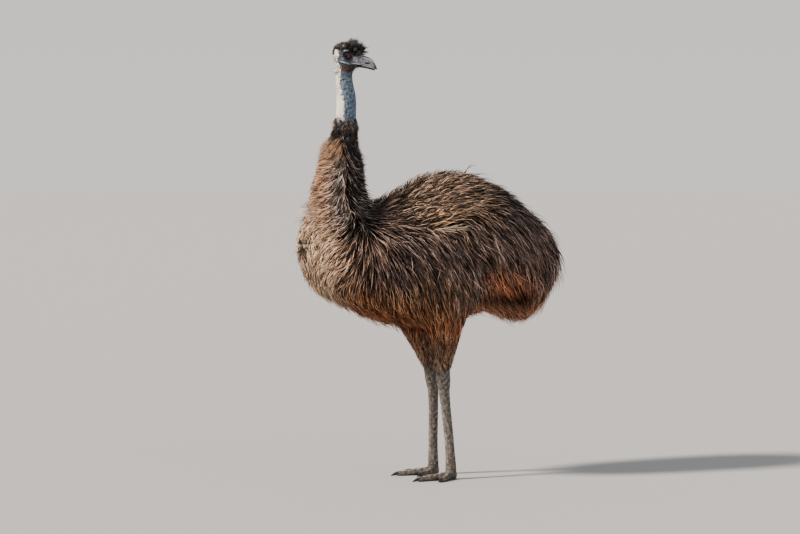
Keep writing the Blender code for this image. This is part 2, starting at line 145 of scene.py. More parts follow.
# how far the skin of the leg lies inside the plumage or the scales
LEG_INSET = Curve([(0.0, 0.0010), (0.42, 0.0010), (0.46, 0.0045), (0.52, 0.008), (0.60, 0.014), (0.75, 0.020)])
TOES = {"inner": (-34.0, 0.098), "middle": (2.0, 0.150), "outer": (36.0, 0.108)}
CLAW = 0.034


def leg_axis(side, z):
    ahead = (-0.003 if side > 0 else 0.011) * np.minimum(1.0, (0.62 - np.minimum(z, 0.62)) / 0.3)
    return side * LEG_X(z), LEG_Y(z) + ahead


def trunk_field(p):
    """Signed distance, near enough, to the outline of the trunk's plumage, with its gradient."""
    x, y, z = p.T
    yc = np.clip(y, -0.579, 0.526)
    top, low, half = TOP(yc), LOW(yc), HALF(yc)
    mid, high = (top + low) / 2, (top - low) / 2
    dmid, dhigh, dhalf = (TOP.d(yc) + LOW.d(yc)) / 2, (TOP.d(yc) - LOW.d(yc)) / 2, HALF.d(yc)
    up = (z - mid) / high
    inside = np.abs(up) < 1.3
    taper = 1 - 0.10 * np.clip(up, -1.3, 1.3)
    tz = np.where(inside, 0.10 / taper, 0.0)
    w = half * taper
    n = 2 / 0.92
    q = np.abs(x) / w
    qn = q ** (n - 1)
    rho = np.sqrt(up * up + q * qn) + 1e-9
    up_y, up_z = -(dmid + up * dhigh) / high, 1 / high
    gx = 0.5 * n * qn * np.sign(x) / w / rho
    gy = (up * up_y + 0.5 * n * qn * q * (-dhalf / half + tz * up_y)) / rho
    gz = (up * up_z + 0.5 * n * qn * q * tz * up_z) / rho
    g = np.stack([gx, gy, gz], 1)
    gl = np.linalg.norm(g, axis=1) + 1e-9
    d = np.clip((rho - 1) / gl, -0.25, 0.8)
    g = g / gl[:, None]
    past = y - yc
    dd = np.where(past == 0, d, np.sqrt(np.maximum(d, 0) ** 2 + past**2))
    gg = np.where((past == 0)[:, None], g, unit(g * np.maximum(d, 0)[:, None] + past[:, None] * np.array([0, 1.0, 0])))
    return dd, gg


def neck_field(p, radius):
    x, y, z = p.T
    zc = np.clip(z, 0.862, 1.638)
    dx, dy = (x - NECK_X(zc)) / 0.96, y - NECK_Y(zc)
    rr = np.hypot(dx, dy) + 1e-9
    g = np.stack([dx / rr / 0.96, dy / rr, -(dx * NECK_X.d(zc) / 0.96 + dy * NECK_Y.d(zc)) / rr - radius.d(zc)], 1)
    gl = np.linalg.norm(g, axis=1) + 1e-9
    d, g = (rr - radius(zc)) / gl, g / gl[:, None]
    past = z - zc
    dd = np.where(past == 0, d, np.where(d > 0, np.sqrt(d**2 + past**2), np.maximum(d, np.abs(past) - 0.03)))
    return dd, g


def limb_field(p, side, inset):
    x, y, z = p.T
    zc = np.clip(z, 0.0, 0.745)
    cx, cy = leg_axis(side, zc)
    e = 1e-3
    ax, ay = leg_axis(side, zc + e)
    sx, sy = (ax - cx) / e, (ay - cy) / e
    i = LEG_INSET(zc) * inset
    a, b = LEG_W(zc) - i, LEG_D(zc) - i
    qx, qy = (x - cx) / a, (y - cy) / b
    q = np.sqrt(qx * qx + qy * qy) + 1e-9
    g = np.stack([qx / a / q, qy / b / q, (-qx * sx / a - qy * sy / b - (qx**2 * LEG_W.d(zc) / a + qy**2 * LEG_D.d(zc) / b)) / q], 1)
    gl = np.linalg.norm(g, axis=1) + 1e-9
    d = (q - 1) / gl
    past = z - zc
    d = np.where(past == 0, d, np.sqrt(np.maximum(d, 0) ** 2 + past**2) + np.minimum(d, 0) * 0)
    return d, g / gl[:, None]


def toe_places(side):
    """Root, heading and length of each toe, as in the solids."""
    fx, fy = leg_axis(side, 0.0)
    for name, (angle, length) in TOES.items():
        a = math.radians(side * (angle + 4.0))
        fwd = np.array([math.sin(a), -math.cos(a), 0.0])
        across = np.array([math.cos(a), math.sin(a), 0.0])
        yield name, np.array([float(fx), float(fy), 0.0]) - fwd * 0.004, fwd, across, length


def toe_size(t):
    pad = 1.0 + 0.07 * np.cos(2 * math.pi * (t * 3.0 + 0.1))
    half = (0.0155 * (1 - t) + 0.0095 * t) * pad
    high = (0.034 * (1 - t) ** 1.3 + 0.0175 * t + 0.002) * (0.5 + 0.5 * pad)
    return half, high


def capsule(p, a, b, ra, rb=None):
    """Distance to a tapered rod."""
    a, b = np.asarray(a, F), np.asarray(b, F)
    rb = ra if rb is None else rb
    ab = b - a
    t = np.clip((p - a) @ ab / (ab @ ab), 0, 1)
    c = p - (a + t[:, None] * ab)
    l = np.linalg.norm(c, axis=1) + 1e-9
    return l - (ra + (rb - ra) * t), c / l[:, None]


WING_A, WING_B = (0.132, -0.235, 0.965), (0.190, -0.075, 0.850)


def coat_field(p):
    """The outer surface of the plumage."""
    f = smin(trunk_field(p), neck_field(p, NECK_COAT), 0.05)
    for side in (1, -1):
        f = smin(f, limb_field(p, side, 0.0), 0.02)
    return f


TRUNK_COAT = 0.052      # depth of the trunk's plumage over the skin


def skin_field(p):
    """The body's own skin under the plumage."""
    d, g = trunk_field(p)
    f = smin((d + TRUNK_COAT, g), neck_field(p, NECK_SKIN), 0.07)
    for side in (1, -1):
        f = smin(f, limb_field(p, side, 1.0), 0.02)
    q = p.copy()
    q[:, 0] = np.abs(q[:, 0])
    d, g = capsule(q, WING_A, WING_B, 0.018, 0.010)
    g = g * np.stack([np.sign(p[:, 0]), np.ones(len(p)), np.ones(len(p))], 1)
    return smin(f, (d, g), 0.02)


# ================================================================ the head, in centimetres from the eye axis
HC, HS = math.cos(HEAD_YAW), math.sin(HEAD_YAW)


def to_head(p):
    q = (p - np.array([0.0, HEAD_BACK, EYE_HEIGHT])) * 100.0
    return np.stack([q[:, 0] * HC + q[:, 1] * HS, -q[:, 0] * HS + q[:, 1] * HC, q[:, 2]], 1)


def from_head(h):
    h = np.atleast_2d(np.asarray(h, F))
    return np.stack([h[:, 0] * HC - h[:, 1] * HS, h[:, 0] * HS + h[:, 1] * HC, h[:, 2]], 1) / 100.0 + np.array([0.0, HEAD_BACK, EYE_HEIGHT])


SK_TOP = Curve([(-5.35, 1.0), (-5.2, 1.9), (-4.5, 2.95), (-3.0, 3.75), (-1.0, 4.15), (1.0, 3.85), (3.0, 2.75), (4.5, 1.55), (5.6, 0.80), (6.1, 0.25), (6.3, -0.6)])
SK_LOW = Curve([(-5.35, 0.4), (-5.2, -0.5), (-4.5, -1.8), (-3.0, -3.0), (-1.5, -3.75), (0.0, -4.15), (2.0, -4.45), (4.0, -4.40), (5.2, -4.15), (6.0, -3.6), (6.3, -2.9)])
SK_HALF = Curve([(-5.35, 0.35), (-5.2, 1.05), (-4.5, 1.75), (-3.0, 2.30), (-1.5, 2.62), (0.0, 2.68), (2.0, 2.40), (4.0, 2.08), (5.2, 1.92), (6.0, 1.55), (6.3, 0.9)])


def soft(a, b, k):
    h = np.clip(0.5 + 0.5 * (b - a) / k, 0, 1)
    return b + (a - b) * h - k * h * (1 - h)


def rod(u, v, w, a, b, ra, rb=None):
    rb = ra if rb is None else rb
    ax, ay, az = (b[i] - a[i] for i in range(3))
    t = np.clip(((u - a[0]) * ax + (v - a[1]) * ay + (w - a[2]) * az) / (ax * ax + ay * ay + az * az), 0, 1)
    return np.sqrt((u - a[0] - t * ax) ** 2 + (v - a[1] - t * ay) ** 2 + (w - a[2] - t * az) ** 2) - (ra + (rb - ra) * t)


def egg(u, v, w, c, r):
    x, y, z = (u - c[0]) / r[0], (v - c[1]) / r[1], (w - c[2]) / r[2]
    k0 = np.sqrt(x * x + y * y + z * z) + 1e-9
    k1 = np.sqrt((x / r[0]) ** 2 + (y / r[1]) ** 2 + (z / r[2]) ** 2) + 1e-9
    return k0 * (k0 - 1) / k1


def lid_edge(u, w):
    """Below 0 inside the opening of the eyelids, a slightly tilted almond."""
    a = u * 0.985 + w * 0.17
    b = w * 0.985 - u * 0.17
    hood = np.where(b > 0, 1.24, 1.36)
    return np.sqrt((a / 1.44) ** 2 + (b / hood) ** 2) - 1 - 0.06 * np.abs(a / 1.44) ** 3


def head_sdf(h):
    """The head's skin without its feathers."""
    u, v, w = h[:, 0], np.abs(h[:, 1]), h[:, 2]
    uc = np.clip(u, -5.32, 6.27)
    top, low, half = SK_TOP(uc), SK_LOW(uc), SK_HALF(uc)
    mid, high = (top + low) / 2, (top - low) / 2
    up = (w - mid) / high
    q = (v / half) ** 2.15
    rho = np.sqrt(up * up + q) + 1e-9
    # slope along the head counts too, so the distance stays true at both ends
    du = (-up * ((SK_TOP.d(uc) + SK_LOW.d(uc)) / 2 + up * (SK_TOP.d(uc) - SK_LOW.d(uc)) / 2) / high - 1.07 * q * SK_HALF.d(uc) / half) / rho
    dv = 1.075 * q / np.maximum(v, 1e-3) / rho
    dw = up / high / rho
    d = np.clip((rho - 1) / np.sqrt(du * du + dv * dv + dw * dw + 1e-9), -2.5, 30)
    past = u - uc
    d = np.where(past == 0, d, np.sqrt(np.maximum(d, 0) ** 2 + past**2))
    # cheek and temple hollow round the eye, brow, gape fold and the strip of slate skin under it
    d = soft(d, egg(u, v, w, (-0.1, 1.55, 0.15), (1.95, 1.45, 1.75)), 0.45)
    d = soft(d, rod(u, v, w, (-1.7, 2.30, 1.25), (1.9, 2.18, 1.05), 0.34, 0.26), 0.35)
    d = soft(d, rod(u, v, w, (-3.4, 2.05, -1.9), (1.6, 2.30, -3.10), 0.30, 0.24), 0.30)
    d = soft(d, rod(u, v, w, (1.6, 2.28, -3.05), (5.6, 1.72, -3.45), 0.20, 0.16), 0.22)
    d = soft(d, rod(u, v, w, (-2.6, 2.0, -3.1), (3.6, 1.75, -4.05), 0.34, 0.26), 0.30)
    d = soft(d, rod(u, v, w, (0.6, 0.0, -5.3), (3.6, 0.0, -3.9), 1.25, 0.75), 0.9)
    d = -soft(-d, rod(u, v, w, (-1.6, 2.72, -2.35), (3.6, 2.45, -3.12), 0.05), 0.20)
    d = -soft(-d, egg(u, v, w, (2.7, 2.62, -0.35), (0.9, 0.42, 0.75)), 0.35)
    # ear
    d = -soft(-d, egg(u, v, w, (-3.15, 2.25, -1.25), (0.42, 0.55, 0.52)), 0.18)
    # lids: a thin shell round the eyeball, open in an almond
    d = soft(d, egg(u, v, w, EYE_C, tuple(a + 0.15 for a in EYE_A)), 0.14)
    d = -soft(-d, egg(u, v, w, EYE_C, tuple(a + 0.012 for a in EYE_A)), 0.03)
    mouth_of_lids = np.maximum(lid_edge(u, w - EYE_C[2]) * 1.2, EYE_C[1] + 0.2 - v)
    d = -soft(-d, mouth_of_lids, 0.09)
    return d


def head_or_neck(p):
    """Metres. The head joined softly to the top of the neck."""
    d = np.full(len(p), 1.0)
    h = to_head(p)
    near = (h[:, 2] > -13) & (np.abs(h[:, 0]) < 9) & (np.abs(h[:, 1]) < 7)
    d[near] = head_sdf(h[near]) / 100.0
    n = neck_field(p, NECK_SKIN)[0]
    # wrinkles run round the bare neck, and the windpipe shows faintly in front
    n = n + 0.00035 * np.sin(p[:, 2] * 2 * math.pi / 0.011 + 2.5 * np.sin(p[:, 0] * 90) + 2.0 * np.sin(p[:, 1] * 70)) * step(1.30, 1.36, p[:, 2]) * step(1.63, 1.57, p[:, 2])
    return soft(d, n, 0.018)


# ================================================================ surface nets
def polygonise(xs, ys, zs, f):
    """Vertices and outward quads of the surface f = 0, one vertex in each cell that it crosses."""
    neg = f < 0
    nx, ny, nz = f.shape
    count = sum(
        neg[i: nx - 1 + i, j: ny - 1 + j, k: nz - 1 + k].astype(np.int8)
        for i in (0, 1) for j in (0, 1) for k in (0, 1))
    ci, cj, ck = np.nonzero((count > 0) & (count < 8))
    index = np.full((nx - 1, ny - 1, nz - 1), -1, np.int32)
    index[ci, cj, ck] = np.arange(len(ci))
    total, hits = np.zeros((len(ci), 3)), np.zeros(len(ci))
    corners = [(i, j, k) for i in (0, 1) for j in (0, 1) for k in (0, 1)]
    for a in corners:
        for axis in range(3):
            if a[axis]:
                continue
            b = tuple(1 if n == axis else a[n] for n in range(3))
            fa = f[ci + a[0], cj + a[1], ck + a[2]]
            fb = f[ci + b[0], cj + b[1], ck + b[2]]
            m = (fa < 0) != (fb < 0)
            t = np.where(m, fa / np.where(m, fa - fb, 1), 0)
            for n in range(3):
                total[:, n] += np.where(m, a[n] + (t if n == axis else 0), 0)
            hits += m
    frac = total / hits[:, None]
    v = np.stack([
        xs[ci] + frac[:, 0] * (xs[ci + 1] - xs[ci]),
        ys[cj] + frac[:, 1] * (ys[cj + 1] - ys[cj]),
        zs[ck] + frac[:, 2] * (zs[ck + 1] - zs[ck])], 1)
    quads = []
    for axis in range(3):
        a = [slice(0, n - 1) if k == axis else slice(1, n - 1) for k, n in enumerate(f.shape)]
        b = [slice(1, n) if k == axis else slice(1, n - 1) for k, n in enumerate(f.shape)]
        fa, fb = neg[tuple(a)], neg[tuple(b)]
        pos = np.argwhere(fa != fb)
        if not len(pos):
            continue
        inside_first = fa[tuple(pos.T)]
        off = [0 if k == axis else 1 for k in range(3)]
        i, j, k = (pos[:, n] + off[n] for n in range(3))
        one, two = (axis + 1) % 3, (axis + 2) % 3
        ring = []
        for da, db in ((1, 1), (0, 1), (0, 0), (1, 0)):
            o = [0, 0, 0]
            o[one], o[two] = da, db
            ring.append(index[i - o[0], j - o[1], k - o[2]])
        q = np.stack(ring, 1)
        q[~inside_first] = q[~inside_first][:, ::-1]
        quads.append(q)
    return v, np.concatenate(quads)


def grid_points(xs, ys, zs):
    g = np.meshgrid(xs, ys, zs, indexing="ij")
    return np.stack([a.ravel() for a in g], 1), g[0].shape


def settle(v, fun, rounds=2, keep=None):
    """Moves vertices onto the surface along its numeric gradient."""
    e = 2e-4
    for _ in range(rounds):
        d = fun(v)
        g = np.stack([(fun(v + np.eye(3)[n] * e) - d) / e for n in range(3)], 1)
        gl = np.linalg.norm(g, axis=1) + 1e-6
        move = -(np.clip(d / gl, -0.002, 0.002))[:, None] * g / gl[:, None]
        if keep is not None:
            move[keep] = 0
        v = v + move
    return v


def mesh_object(name, verts, faces, smooth=True):
    """faces is one array of quads or triangles, or a list of such arrays. The vertices are in the bird's axes."""
    mesh = bpy.data.meshes.new(name)
    groups = faces if isinstance(faces, list) else [faces]
    groups = [np.asarray(g, np.int32) for g in groups if len(g)]
    loops = np.concatenate([g.ravel() for g in groups])
    sizes = np.concatenate([np.full(len(g), g.shape[1], np.int32) for g in groups])
    starts = np.concatenate([[0], np.cumsum(sizes)[:-1]]).astype(np.int32)
    mesh.vertices.add(len(verts))
    mesh.vertices.foreach_set("co", (np.asarray(verts, F) + SHIFT).astype(np.float32).ravel())
    mesh.loops.add(len(loops))
    mesh.loops.foreach_set("vertex_index", loops)
    mesh.polygons.add(len(sizes))
    mesh.polygons.foreach_set("loop_start", starts)
    if smooth:
        mesh.polygons.foreach_set("use_smooth", np.ones(len(sizes), bool))
    mesh.update(calc_edges=True)
    mesh.validate()
    obj = bpy.data.objects.new(name, mesh)
    bpy.context.scene.collection.objects.link(obj)
    return obj


def set_colour(obj, rgb, name="Col"):
    a = obj.data.attributes.new(name, "FLOAT_COLOR", "POINT")
    rgba = np.ones((len(obj.data.vertices), 4), np.float32)
    rgba[:, :3] = rgb
    a.data.foreach_set("color", rgba.ravel())


def read_verts(obj):
    v = np.empty(len(obj.data.vertices) * 3, np.float32)
    obj.data.vertices.foreach_get("co", v)
    return v.reshape(-1, 3).astype(F) - SHIFT


# ================================================================ camera, floor and light
PHI, LIFT, DIST = math.radians(63.0), math.radians(3.0), 12.0
RIGHT = np.array([math.cos(PHI), math.sin(PHI), 0.0])
BACK = np.array([math.sin(PHI) * math.cos(LIFT), -math.cos(PHI) * math.cos(LIFT), math.sin(LIFT)])
UP = np.cross(BACK, RIGHT)
TARGET = RIGHT * -0.144 + np.array([0, 0, 0.823]) + SHIFT
scene = bpy.context.scene
cam_data = bpy.data.cameras.new("camera")
cam_data.lens, cam_data.sensor_width = 138.5, 36.0
cam_data.clip_end = 100.0
camera = bpy.data.objects.new("camera", cam_data)
scene.collection.objects.link(camera)
place = TARGET + DIST * BACK
camera.matrix_world = Matrix([[RIGHT[i], UP[i], BACK[i], place[i]] for i in range(3)] + [[0, 0, 0, 1]])
scene.camera = camera


def broad_light(name, where, spread, power, colour):
    """Soft, even light from far away on this side."""
    data = bpy.data.lights.new(name, "SUN")
    data.angle, data.energy, data.color = math.radians(spread), power, colour
    obj = bpy.data.objects.new(name, data)
    scene.collection.objects.link(obj)
    obj.location = Vector(where) * 6
    obj.rotation_euler = (-Vector(where)).to_track_quat("-Z", "Y").to_euler()
    return obj


def seen(right, toward, up):
    """A place given as the camera sees it: to its right, towards it, and up."""
    flat = np.array([math.sin(PHI), -math.cos(PHI), 0.0])
    return tuple(RIGHT * right + flat * toward + np.array([0, 0, up]))


broad_light("key", seen(-1.0, 0.42, 0.80), 8, 5.3, (1.0, 0.93, 0.85))
broad_light("fill", seen(0.55, 1.0, 0.45), 60, 0.55, (0.88, 0.94, 1.0))
world = bpy.data.worlds.new("studio")
scene.world = world
world.use_nodes = True
sky = world.node_tree
where = sky.nodes.new("ShaderNodeTexCoord")
height = sky.nodes.new("ShaderNodeSeparateXYZ")
fade = sky.nodes.new("ShaderNodeValToRGB")
fade.color_ramp.elements[0].color = (0.70, 0.68, 0.655, 1)
fade.color_ramp.elements[1].color = (0.40, 0.42, 0.45, 1)
fade.color_ramp.elements.new(0.30).color = (0.47, 0.48, 0.495, 1)
sky.links.new(where.outputs["Generated"], height.inputs[0])
sky.links.new(height.outputs["Z"], fade.inputs[0])
sky.links.new(fade.outputs[0], sky.nodes["Background"].inputs[0])
sky.nodes["Background"].inputs[1].default_value = 1.0
scene.view_settings.look = "AgX - Medium High Contrast"

bm = bmesh.new()
bmesh.ops.create_circle(bm, cap_ends=True, cap_tris=True, segments=128, radius=40.0)
floor_mesh = bpy.data.meshes.new("floor")
bm.to_mesh(floor_mesh)
bm.free()
floor = bpy.data.objects.new("floor", floor_mesh)
scene.collection.objects.link(floor)


# ================================================================ materials
def new_material(name, rough=0.6, specular=0.35):
    mat = bpy.data.materials.new(name)
    mat.use_nodes = True
    bsdf = mat.node_tree.nodes["Principled BSDF"]
    bsdf.inputs["Roughness"].default_value = rough
    bsdf.inputs["Specular IOR Level"].default_value = specular
    return mat, mat.node_tree, bsdf


def node(tree, kind, **values):
    n = tree.nodes.new(kind)
    for key, value in values.items():
        if hasattr(n, key):
            setattr(n, key, value)
        else:
            n.inputs[key.replace("_", " ")].default_value = value
    return n


def tinted(name, rough, specular, scale, amount, bump=0.0, bump_scale=None, detail=3.0, stretch=(1, 1, 1)):
    """The mesh's own painted colour, mottled by noise, with an optional fine bump."""
    mat, tree, bsdf = new_material(name, rough, specular)
    link = tree.links.new
    col = node(tree, "ShaderNodeAttribute", attribute_name="Col")
    coords = node(tree, "ShaderNodeTexCoord")
    mapping = node(tree, "ShaderNodeMapping")
    mapping.inputs["Scale"].default_value = stretch
    link(coords.outputs["Object"], mapping.inputs["Vector"])
    noise = node(tree, "ShaderNodeTexNoise", Scale=scale, Detail=detail, Roughness=0.6)
    link(mapping.outputs[0], noise.inputs["Vector"])
    ramp = node(tree, "ShaderNodeMapRange")
    ramp.inputs["From Min"].default_value, ramp.inputs["From Max"].default_value = 0.3, 0.7
    ramp.inputs["To Min"].default_value, ramp.inputs["To Max"].default_value = 1 - amount, 1 + amount
    link(noise.outputs["Fac"], ramp.inputs["Value"])
    mix = node(tree, "ShaderNodeVectorMath", operation="SCALE")
    link(col.outputs["Color"], mix.inputs[0])
    link(ramp.outputs[0], mix.inputs["Scale"])
    link(mix.outputs[0], bsdf.inputs["Base Color"])
    if bump:
        fine = node(tree, "ShaderNodeTexNoise", Scale=bump_scale, Detail=4.0, Roughness=0.65)
        link(mapping.outputs[0], fine.inputs["Vector"])
        b = node(tree, "ShaderNodeBump", Strength=0.7, Distance=bump)
        link(fine.outputs["Fac"], b.inputs["Height"])
        link(b.outputs[0], bsdf.inputs["Normal"])
    return mat


floor_mat, tree, bsdf = new_material("floor_paint", 0.85, 0.2)
noise = node(tree, "ShaderNodeTexNoise", Scale=1.3, Detail=2.0)
ramp = node(tree, "ShaderNodeValToRGB")
ramp.color_ramp.elements[0].color = (0.445, 0.43, 0.415, 1)
ramp.color_ramp.elements[1].color = (0.485, 0.47, 0.455, 1)
tree.links.new(noise.outputs["Fac"], ramp.inputs[0])
tree.links.new(ramp.outputs[0], bsdf.inputs["Base Color"])
floor_mesh.materials.append(floor_mat)

SKIN_MAT = tinted("emu_skin", 0.55, 0.4, 220.0, 0.22, 0.0006, 900.0)
PLUME_MAT = tinted("emu_plume", 0.62, 0.25, 70.0, 0.18)
BRISTLE_MAT = tinted("emu_bristle", 0.5, 0.35, 90.0, 0.15)
SCALE_MAT = tinted("leg_scale", 0.5, 0.4, 260.0, 0.30, 0.0004, 1400.0)
HORN_MAT = tinted("bill_horn", 0.34, 0.5, 60.0, 0.16, 0.00015, 500.0)
CLAW_MAT = tinted("claw_horn", 0.32, 0.5, 120.0, 0.2, 0.0002, 600.0)


# ================================================================ where each region lies
NAPE = Curve([(0.93, 95.0), (0.96, 60.0), (0.985, 22.0), (1.01, 7.0), (1.05, 0.0), (1.10, -3.0), (1.22, -6.0), (1.28, -3.0),
              (1.34, -35.0), (1.40, -72.0), (1.50, -98.0), (1.60, -115.0), (1.70, -117.0)])


def around_neck(p):
    """Angle from the nape, positive to the bird's left going round, and height."""
    z = p[:, 2]
    a = np.arctan2(p[:, 1] - NECK_Y(z), p[:, 0] - NECK_X(z)) - np.radians(NAPE(z))
    return (a + math.pi) % (2 * math.pi) - math.pi


# ================================================================ skin colours
def pale_nape_band_and_sunlight(p):
    """The pale band that runs down beside the nape from behind the ear: partly pale skin, partly painted sunlight."""
    a, z = np.abs(around_neck(p)), p[:, 2]
    edge = 0.78 + 0.30 * step(1.52, 1.60, z) - 0.25 * step(1.46, 1.38, z) + 0.10 * waves(p, 0.016, 66)
    return step(edge + 0.10, edge - 0.06, a) * step(1.375, 1.43, z)


def gape_line(u):
    return -1.75 - (u + 3.4) * 0.26


CROWN_EDGE = Curve([(-5.5, 2.5), (-4.2, 2.7), (-3.0, 2.6), (-1.5, 2.40), (0.0, 2.35), (1.3, 2.20), (1.9, 1.20), (2.5, 0.10), (3.6, 0.05), (4.6, 0.55), (5.4, 1.0), (6.4, 1.2)])


def crown_weight(h):
    """Where the black bristles of the crown and nape grow."""
    u, v, w = h[:, 0], np.abs(h[:, 1]), h[:, 2]
    edge = CROWN_EDGE(u)
    top = step(edge - 0.15, edge + 0.25, w)
    nape = step(-4.05, -4.40, u + 0.12 * (2.6 - w)) * step(0.0, 0.7, w)
    return np.maximum(top, nape)


def cream_weight(h):
    """The cream patch behind the ear, which runs down into the band beside the nape."""
    u, v, w = h[:, 0], np.abs(h[:, 1]), h[:, 2]
    edge = -2.85 - 0.65 * bell(w, -1.9, 0.9) + 0.25 * step(-3.2, -4.8, w) + 0.10 * np.sin(w * 5.0)
    return step(edge + 0.12, edge - 0.18, u) * step(2.75, 2.35, w) * (1 - step(-4.05, -4.40, u + 0.12 * (2.6 - w)) * step(0.0, 0.7, w)) * step(-6.8, -5.6, w)


def mix3(base, other, w):
    return base + (np.asarray(other, F) - base) * np.clip(w, 0, 1)[:, None]


def nose_marks_and_highlights(col, u, w, share):
    """Two pale swellings with darker middles, before the eye and over the root of the bill: the pale rings are painted
    highlights.
    """
    for cu, cw in ((3.5, -1.55), (6.2, -1.6)):
        r = np.hypot((u - cu) * 0.9, (w - cw) * 1.1) + 0.16 * np.sin(u * 4.1 + w * 2.3) + 0.10 * np.sin(w * 6.3 - u * 3.0)
        col = mix3(col, (0.42, 0.41, 0.46), bell(r, 0.62, 0.30) * share * 0.85)
        col = mix3(col, (0.13, 0.125, 0.135), bell(r, 0.0, 0.36) * share * 0.75)
        col = mix3(col, (0.075, 0.072, 0.082), bell(r, 1.22, 0.17) * share * 0.6 * step(0.3, -0.6, w))
    return col


def skin_colour(p):
    z = p[:, 2]
    n1, n2, n3 = waves(p, 0.05, 3), waves(p, 0.012, 4), waves(p, 0.005, 5)
    # painted shade: the skin under the plumage is near black, the shade between the feathers
    col = np.tile(np.array([0.022, 0.017, 0.014]), (len(p), 1))       # under the plumage
    breast = step(-0.50, -0.53, p[:, 1]) * step(0.84, 0.87, z) * step(0.945, 0.92, z)
    col = col + (np.array([0.36, 0.265, 0.200]) - col) * (0.9 * breast)[:, None]
    # bare legs
    leg = np.array([0.120, 0.100, 0.082]) * (1 + 0.25 * n1 + 0.25 * n2)[:, None]
    col = np.where((z < 0.47)[:, None], mix3(leg, (0.04, 0.034, 0.030), np.clip(n2 * 1.2 - 0.2, 0, 1)), col)
    # bare neck: blue-grey, bluest in front of the throat, with a pale band beside the nape that is partly pale skin and
    # partly painted sunlight
    a = around_neck(p)
    neck_w = step(1.325, 1.36, z)
    blue = np.array([0.095, 0.125, 0.160])
    bare = np.tile(blue, (len(p), 1)) * (1 + 0.22 * n1 + 0.30 * n2)[:, None]
    bare = mix3(bare, (0.075, 0.135, 0.215), step(1.60, 1.42, z) * step(0.9, 2.2, np.abs(a)) * 0.8)
    bare = mix3(bare, (0.30, 0.35, 0.39), np.clip(n3 * 0.9 + 0.2 * n2 - 0.1, 0, 1) * 0.75)
    bare = mix3(bare, (0.018, 0.017, 0.020), np.clip(-n2 * 0.8 - n3 * 0.5 - 0.20, 0, 1) * 0.95)
    bare = mix3(bare, (0.022, 0.018, 0.020), step(1.54, 1.60, z) * 0.75)
    bare = mix3(bare, (0.020, 0.018, 0.020), step(1.405, 1.365, z + 0.012 * waves(p, 0.020, 36)) * 0.85)
    bare = mix3(bare, (0.78, 0.69, 0.61), pale_nape_band_and_sunlight(p) * 0.95)
    col = np.where((z > 1.30)[:, None], mix3(col, bare, neck_w), col)
    # head
    h = to_head(p)
    u, v, w = h[:, 0], np.abs(h[:, 1]), h[:, 2]
    lid = lid_edge(u, w - EYE_C[2]) + 1
    face = np.tile(np.array([0.052, 0.060, 0.070]), (len(p), 1)) * (1 + 0.25 * n2)[:, None]
    lore = step(1.2, 3.4, u) * step(0.9, -0.6, w) * step(-3.9, -3.1, w)
    face = mix3(face, (0.22, 0.215, 0.245), lore * 0.95)                                                   # lores, lavender grey
    face = nose_marks_and_highlights(face, u, w, lore)
    face = mix3(face, (0.40, 0.40, 0.42), lore * bell(w, -3.0 - 0.09 * (u - 3), 0.24) * 0.8)
    face = mix3(face, (0.014, 0.013, 0.016), bell(u, 1.75, 0.75) * bell(w, -0.6, 1.3) * (v > 1.2) * 0.9)    # dark before the eye
    # dark rim round the eye: partly dark skin, partly painted shade on the lids' inner wall
    rim = 1.02 + 0.32 * step(-0.3, 0.9, u) + 0.03 * step(-0.6, -1.3, w) + 0.14 * step(0.6, 1.1, w)
    face = mix3(face, (0.006, 0.006, 0.008), step(rim + 0.10, rim, lid) * (v > 1.3) * (u < 2.9))
    face = mix3(face, (0.66, 0.76, 0.80), step(-1.20, -0.7, u) * step(1.40, 1.0, u) * step(1.52, 1.70, w) * step(2.34, 2.14, w) * 0.95)   # pale blue lid
    face = mix3(face, (0.20, 0.25, 0.27), bell(np.hypot(u + 1.3, (w + 1.3)), 0.0, 0.55) * 0.7)
    strip = gape_line(u)
    face = mix3(face, (0.075, 0.105, 0.130), bell(w, strip - 0.25, 0.55) * step(2.6, 1.0, u) * 0.9)
    face = mix3(face, (0.50, 0.58, 0.60), bell(w, strip - 0.28, 0.14) * step(0.1, -0.6, u) * step(-2.6, -1.8, u))
    face = mix3(face, (0.42, 0.48, 0.52), bell(w, strip - 0.45, 0.15) * bell(u, 0.75, 0.75))
    face = mix3(face, (0.030, 0.045, 0.050), bell(w, strip + 0.16, 0.09) * bell(u, -0.8, 1.2) * 0.85)
    face = mix3(face, (0.36, 0.35, 0.35), bell(w, -3.38 - (u - 4) * 0.12, 0.13) * step(1.6, 2.6, u))
    face = mix3(face, (0.010, 0.009, 0.011), bell(w, strip - 0.85, 0.26) * step(4.6, 3.0, u) * step(-3.6, -2.6, u) * 0.85)
    face = mix3(face, (0.80, 0.71, 0.63), cream_weight(h) * 0.96)
    face = mix3(face, (0.016, 0.014, 0.014), crown_weight(h))
    face = mix3(face, (0.095, 0.042, 0.025), step(-3.75, -4.4, w) * step(-3.0, -1.8, u))                   # rusty throat
    # painted shade in the ear opening
    face = mix3(face, (0.01, 0.01, 0.012), np.exp(-(((u + 3.15) / 0.42) ** 2 + ((w + 1.25) / 0.5) ** 2)) * (v > 1.6))
    on_head = step(-6.6, -5.0, w - 0.28 * np.abs(u))
    col = np.where((z > 1.55)[:, None], mix3(col, face, on_head), col)
    return np.clip(col, 0.004, 1)


# ================================================================ build the skin
def zone(xs, ys, zs, fun, chunk=400000):
    pts, shape = grid_points(xs, ys, zs)
    f = np.empty(len(pts))
    for i in range(0, len(pts), chunk):
        f[i: i + chunk] = fun(pts[i: i + chunk])
    f = f.reshape(shape)
    f[0], f[-1], f[:, 0], f[:, -1], f[:, :, 0], f[:, :, -1] = 1, 1, 1, 1, 1, 1
    return polygonise(xs, ys, zs, f)


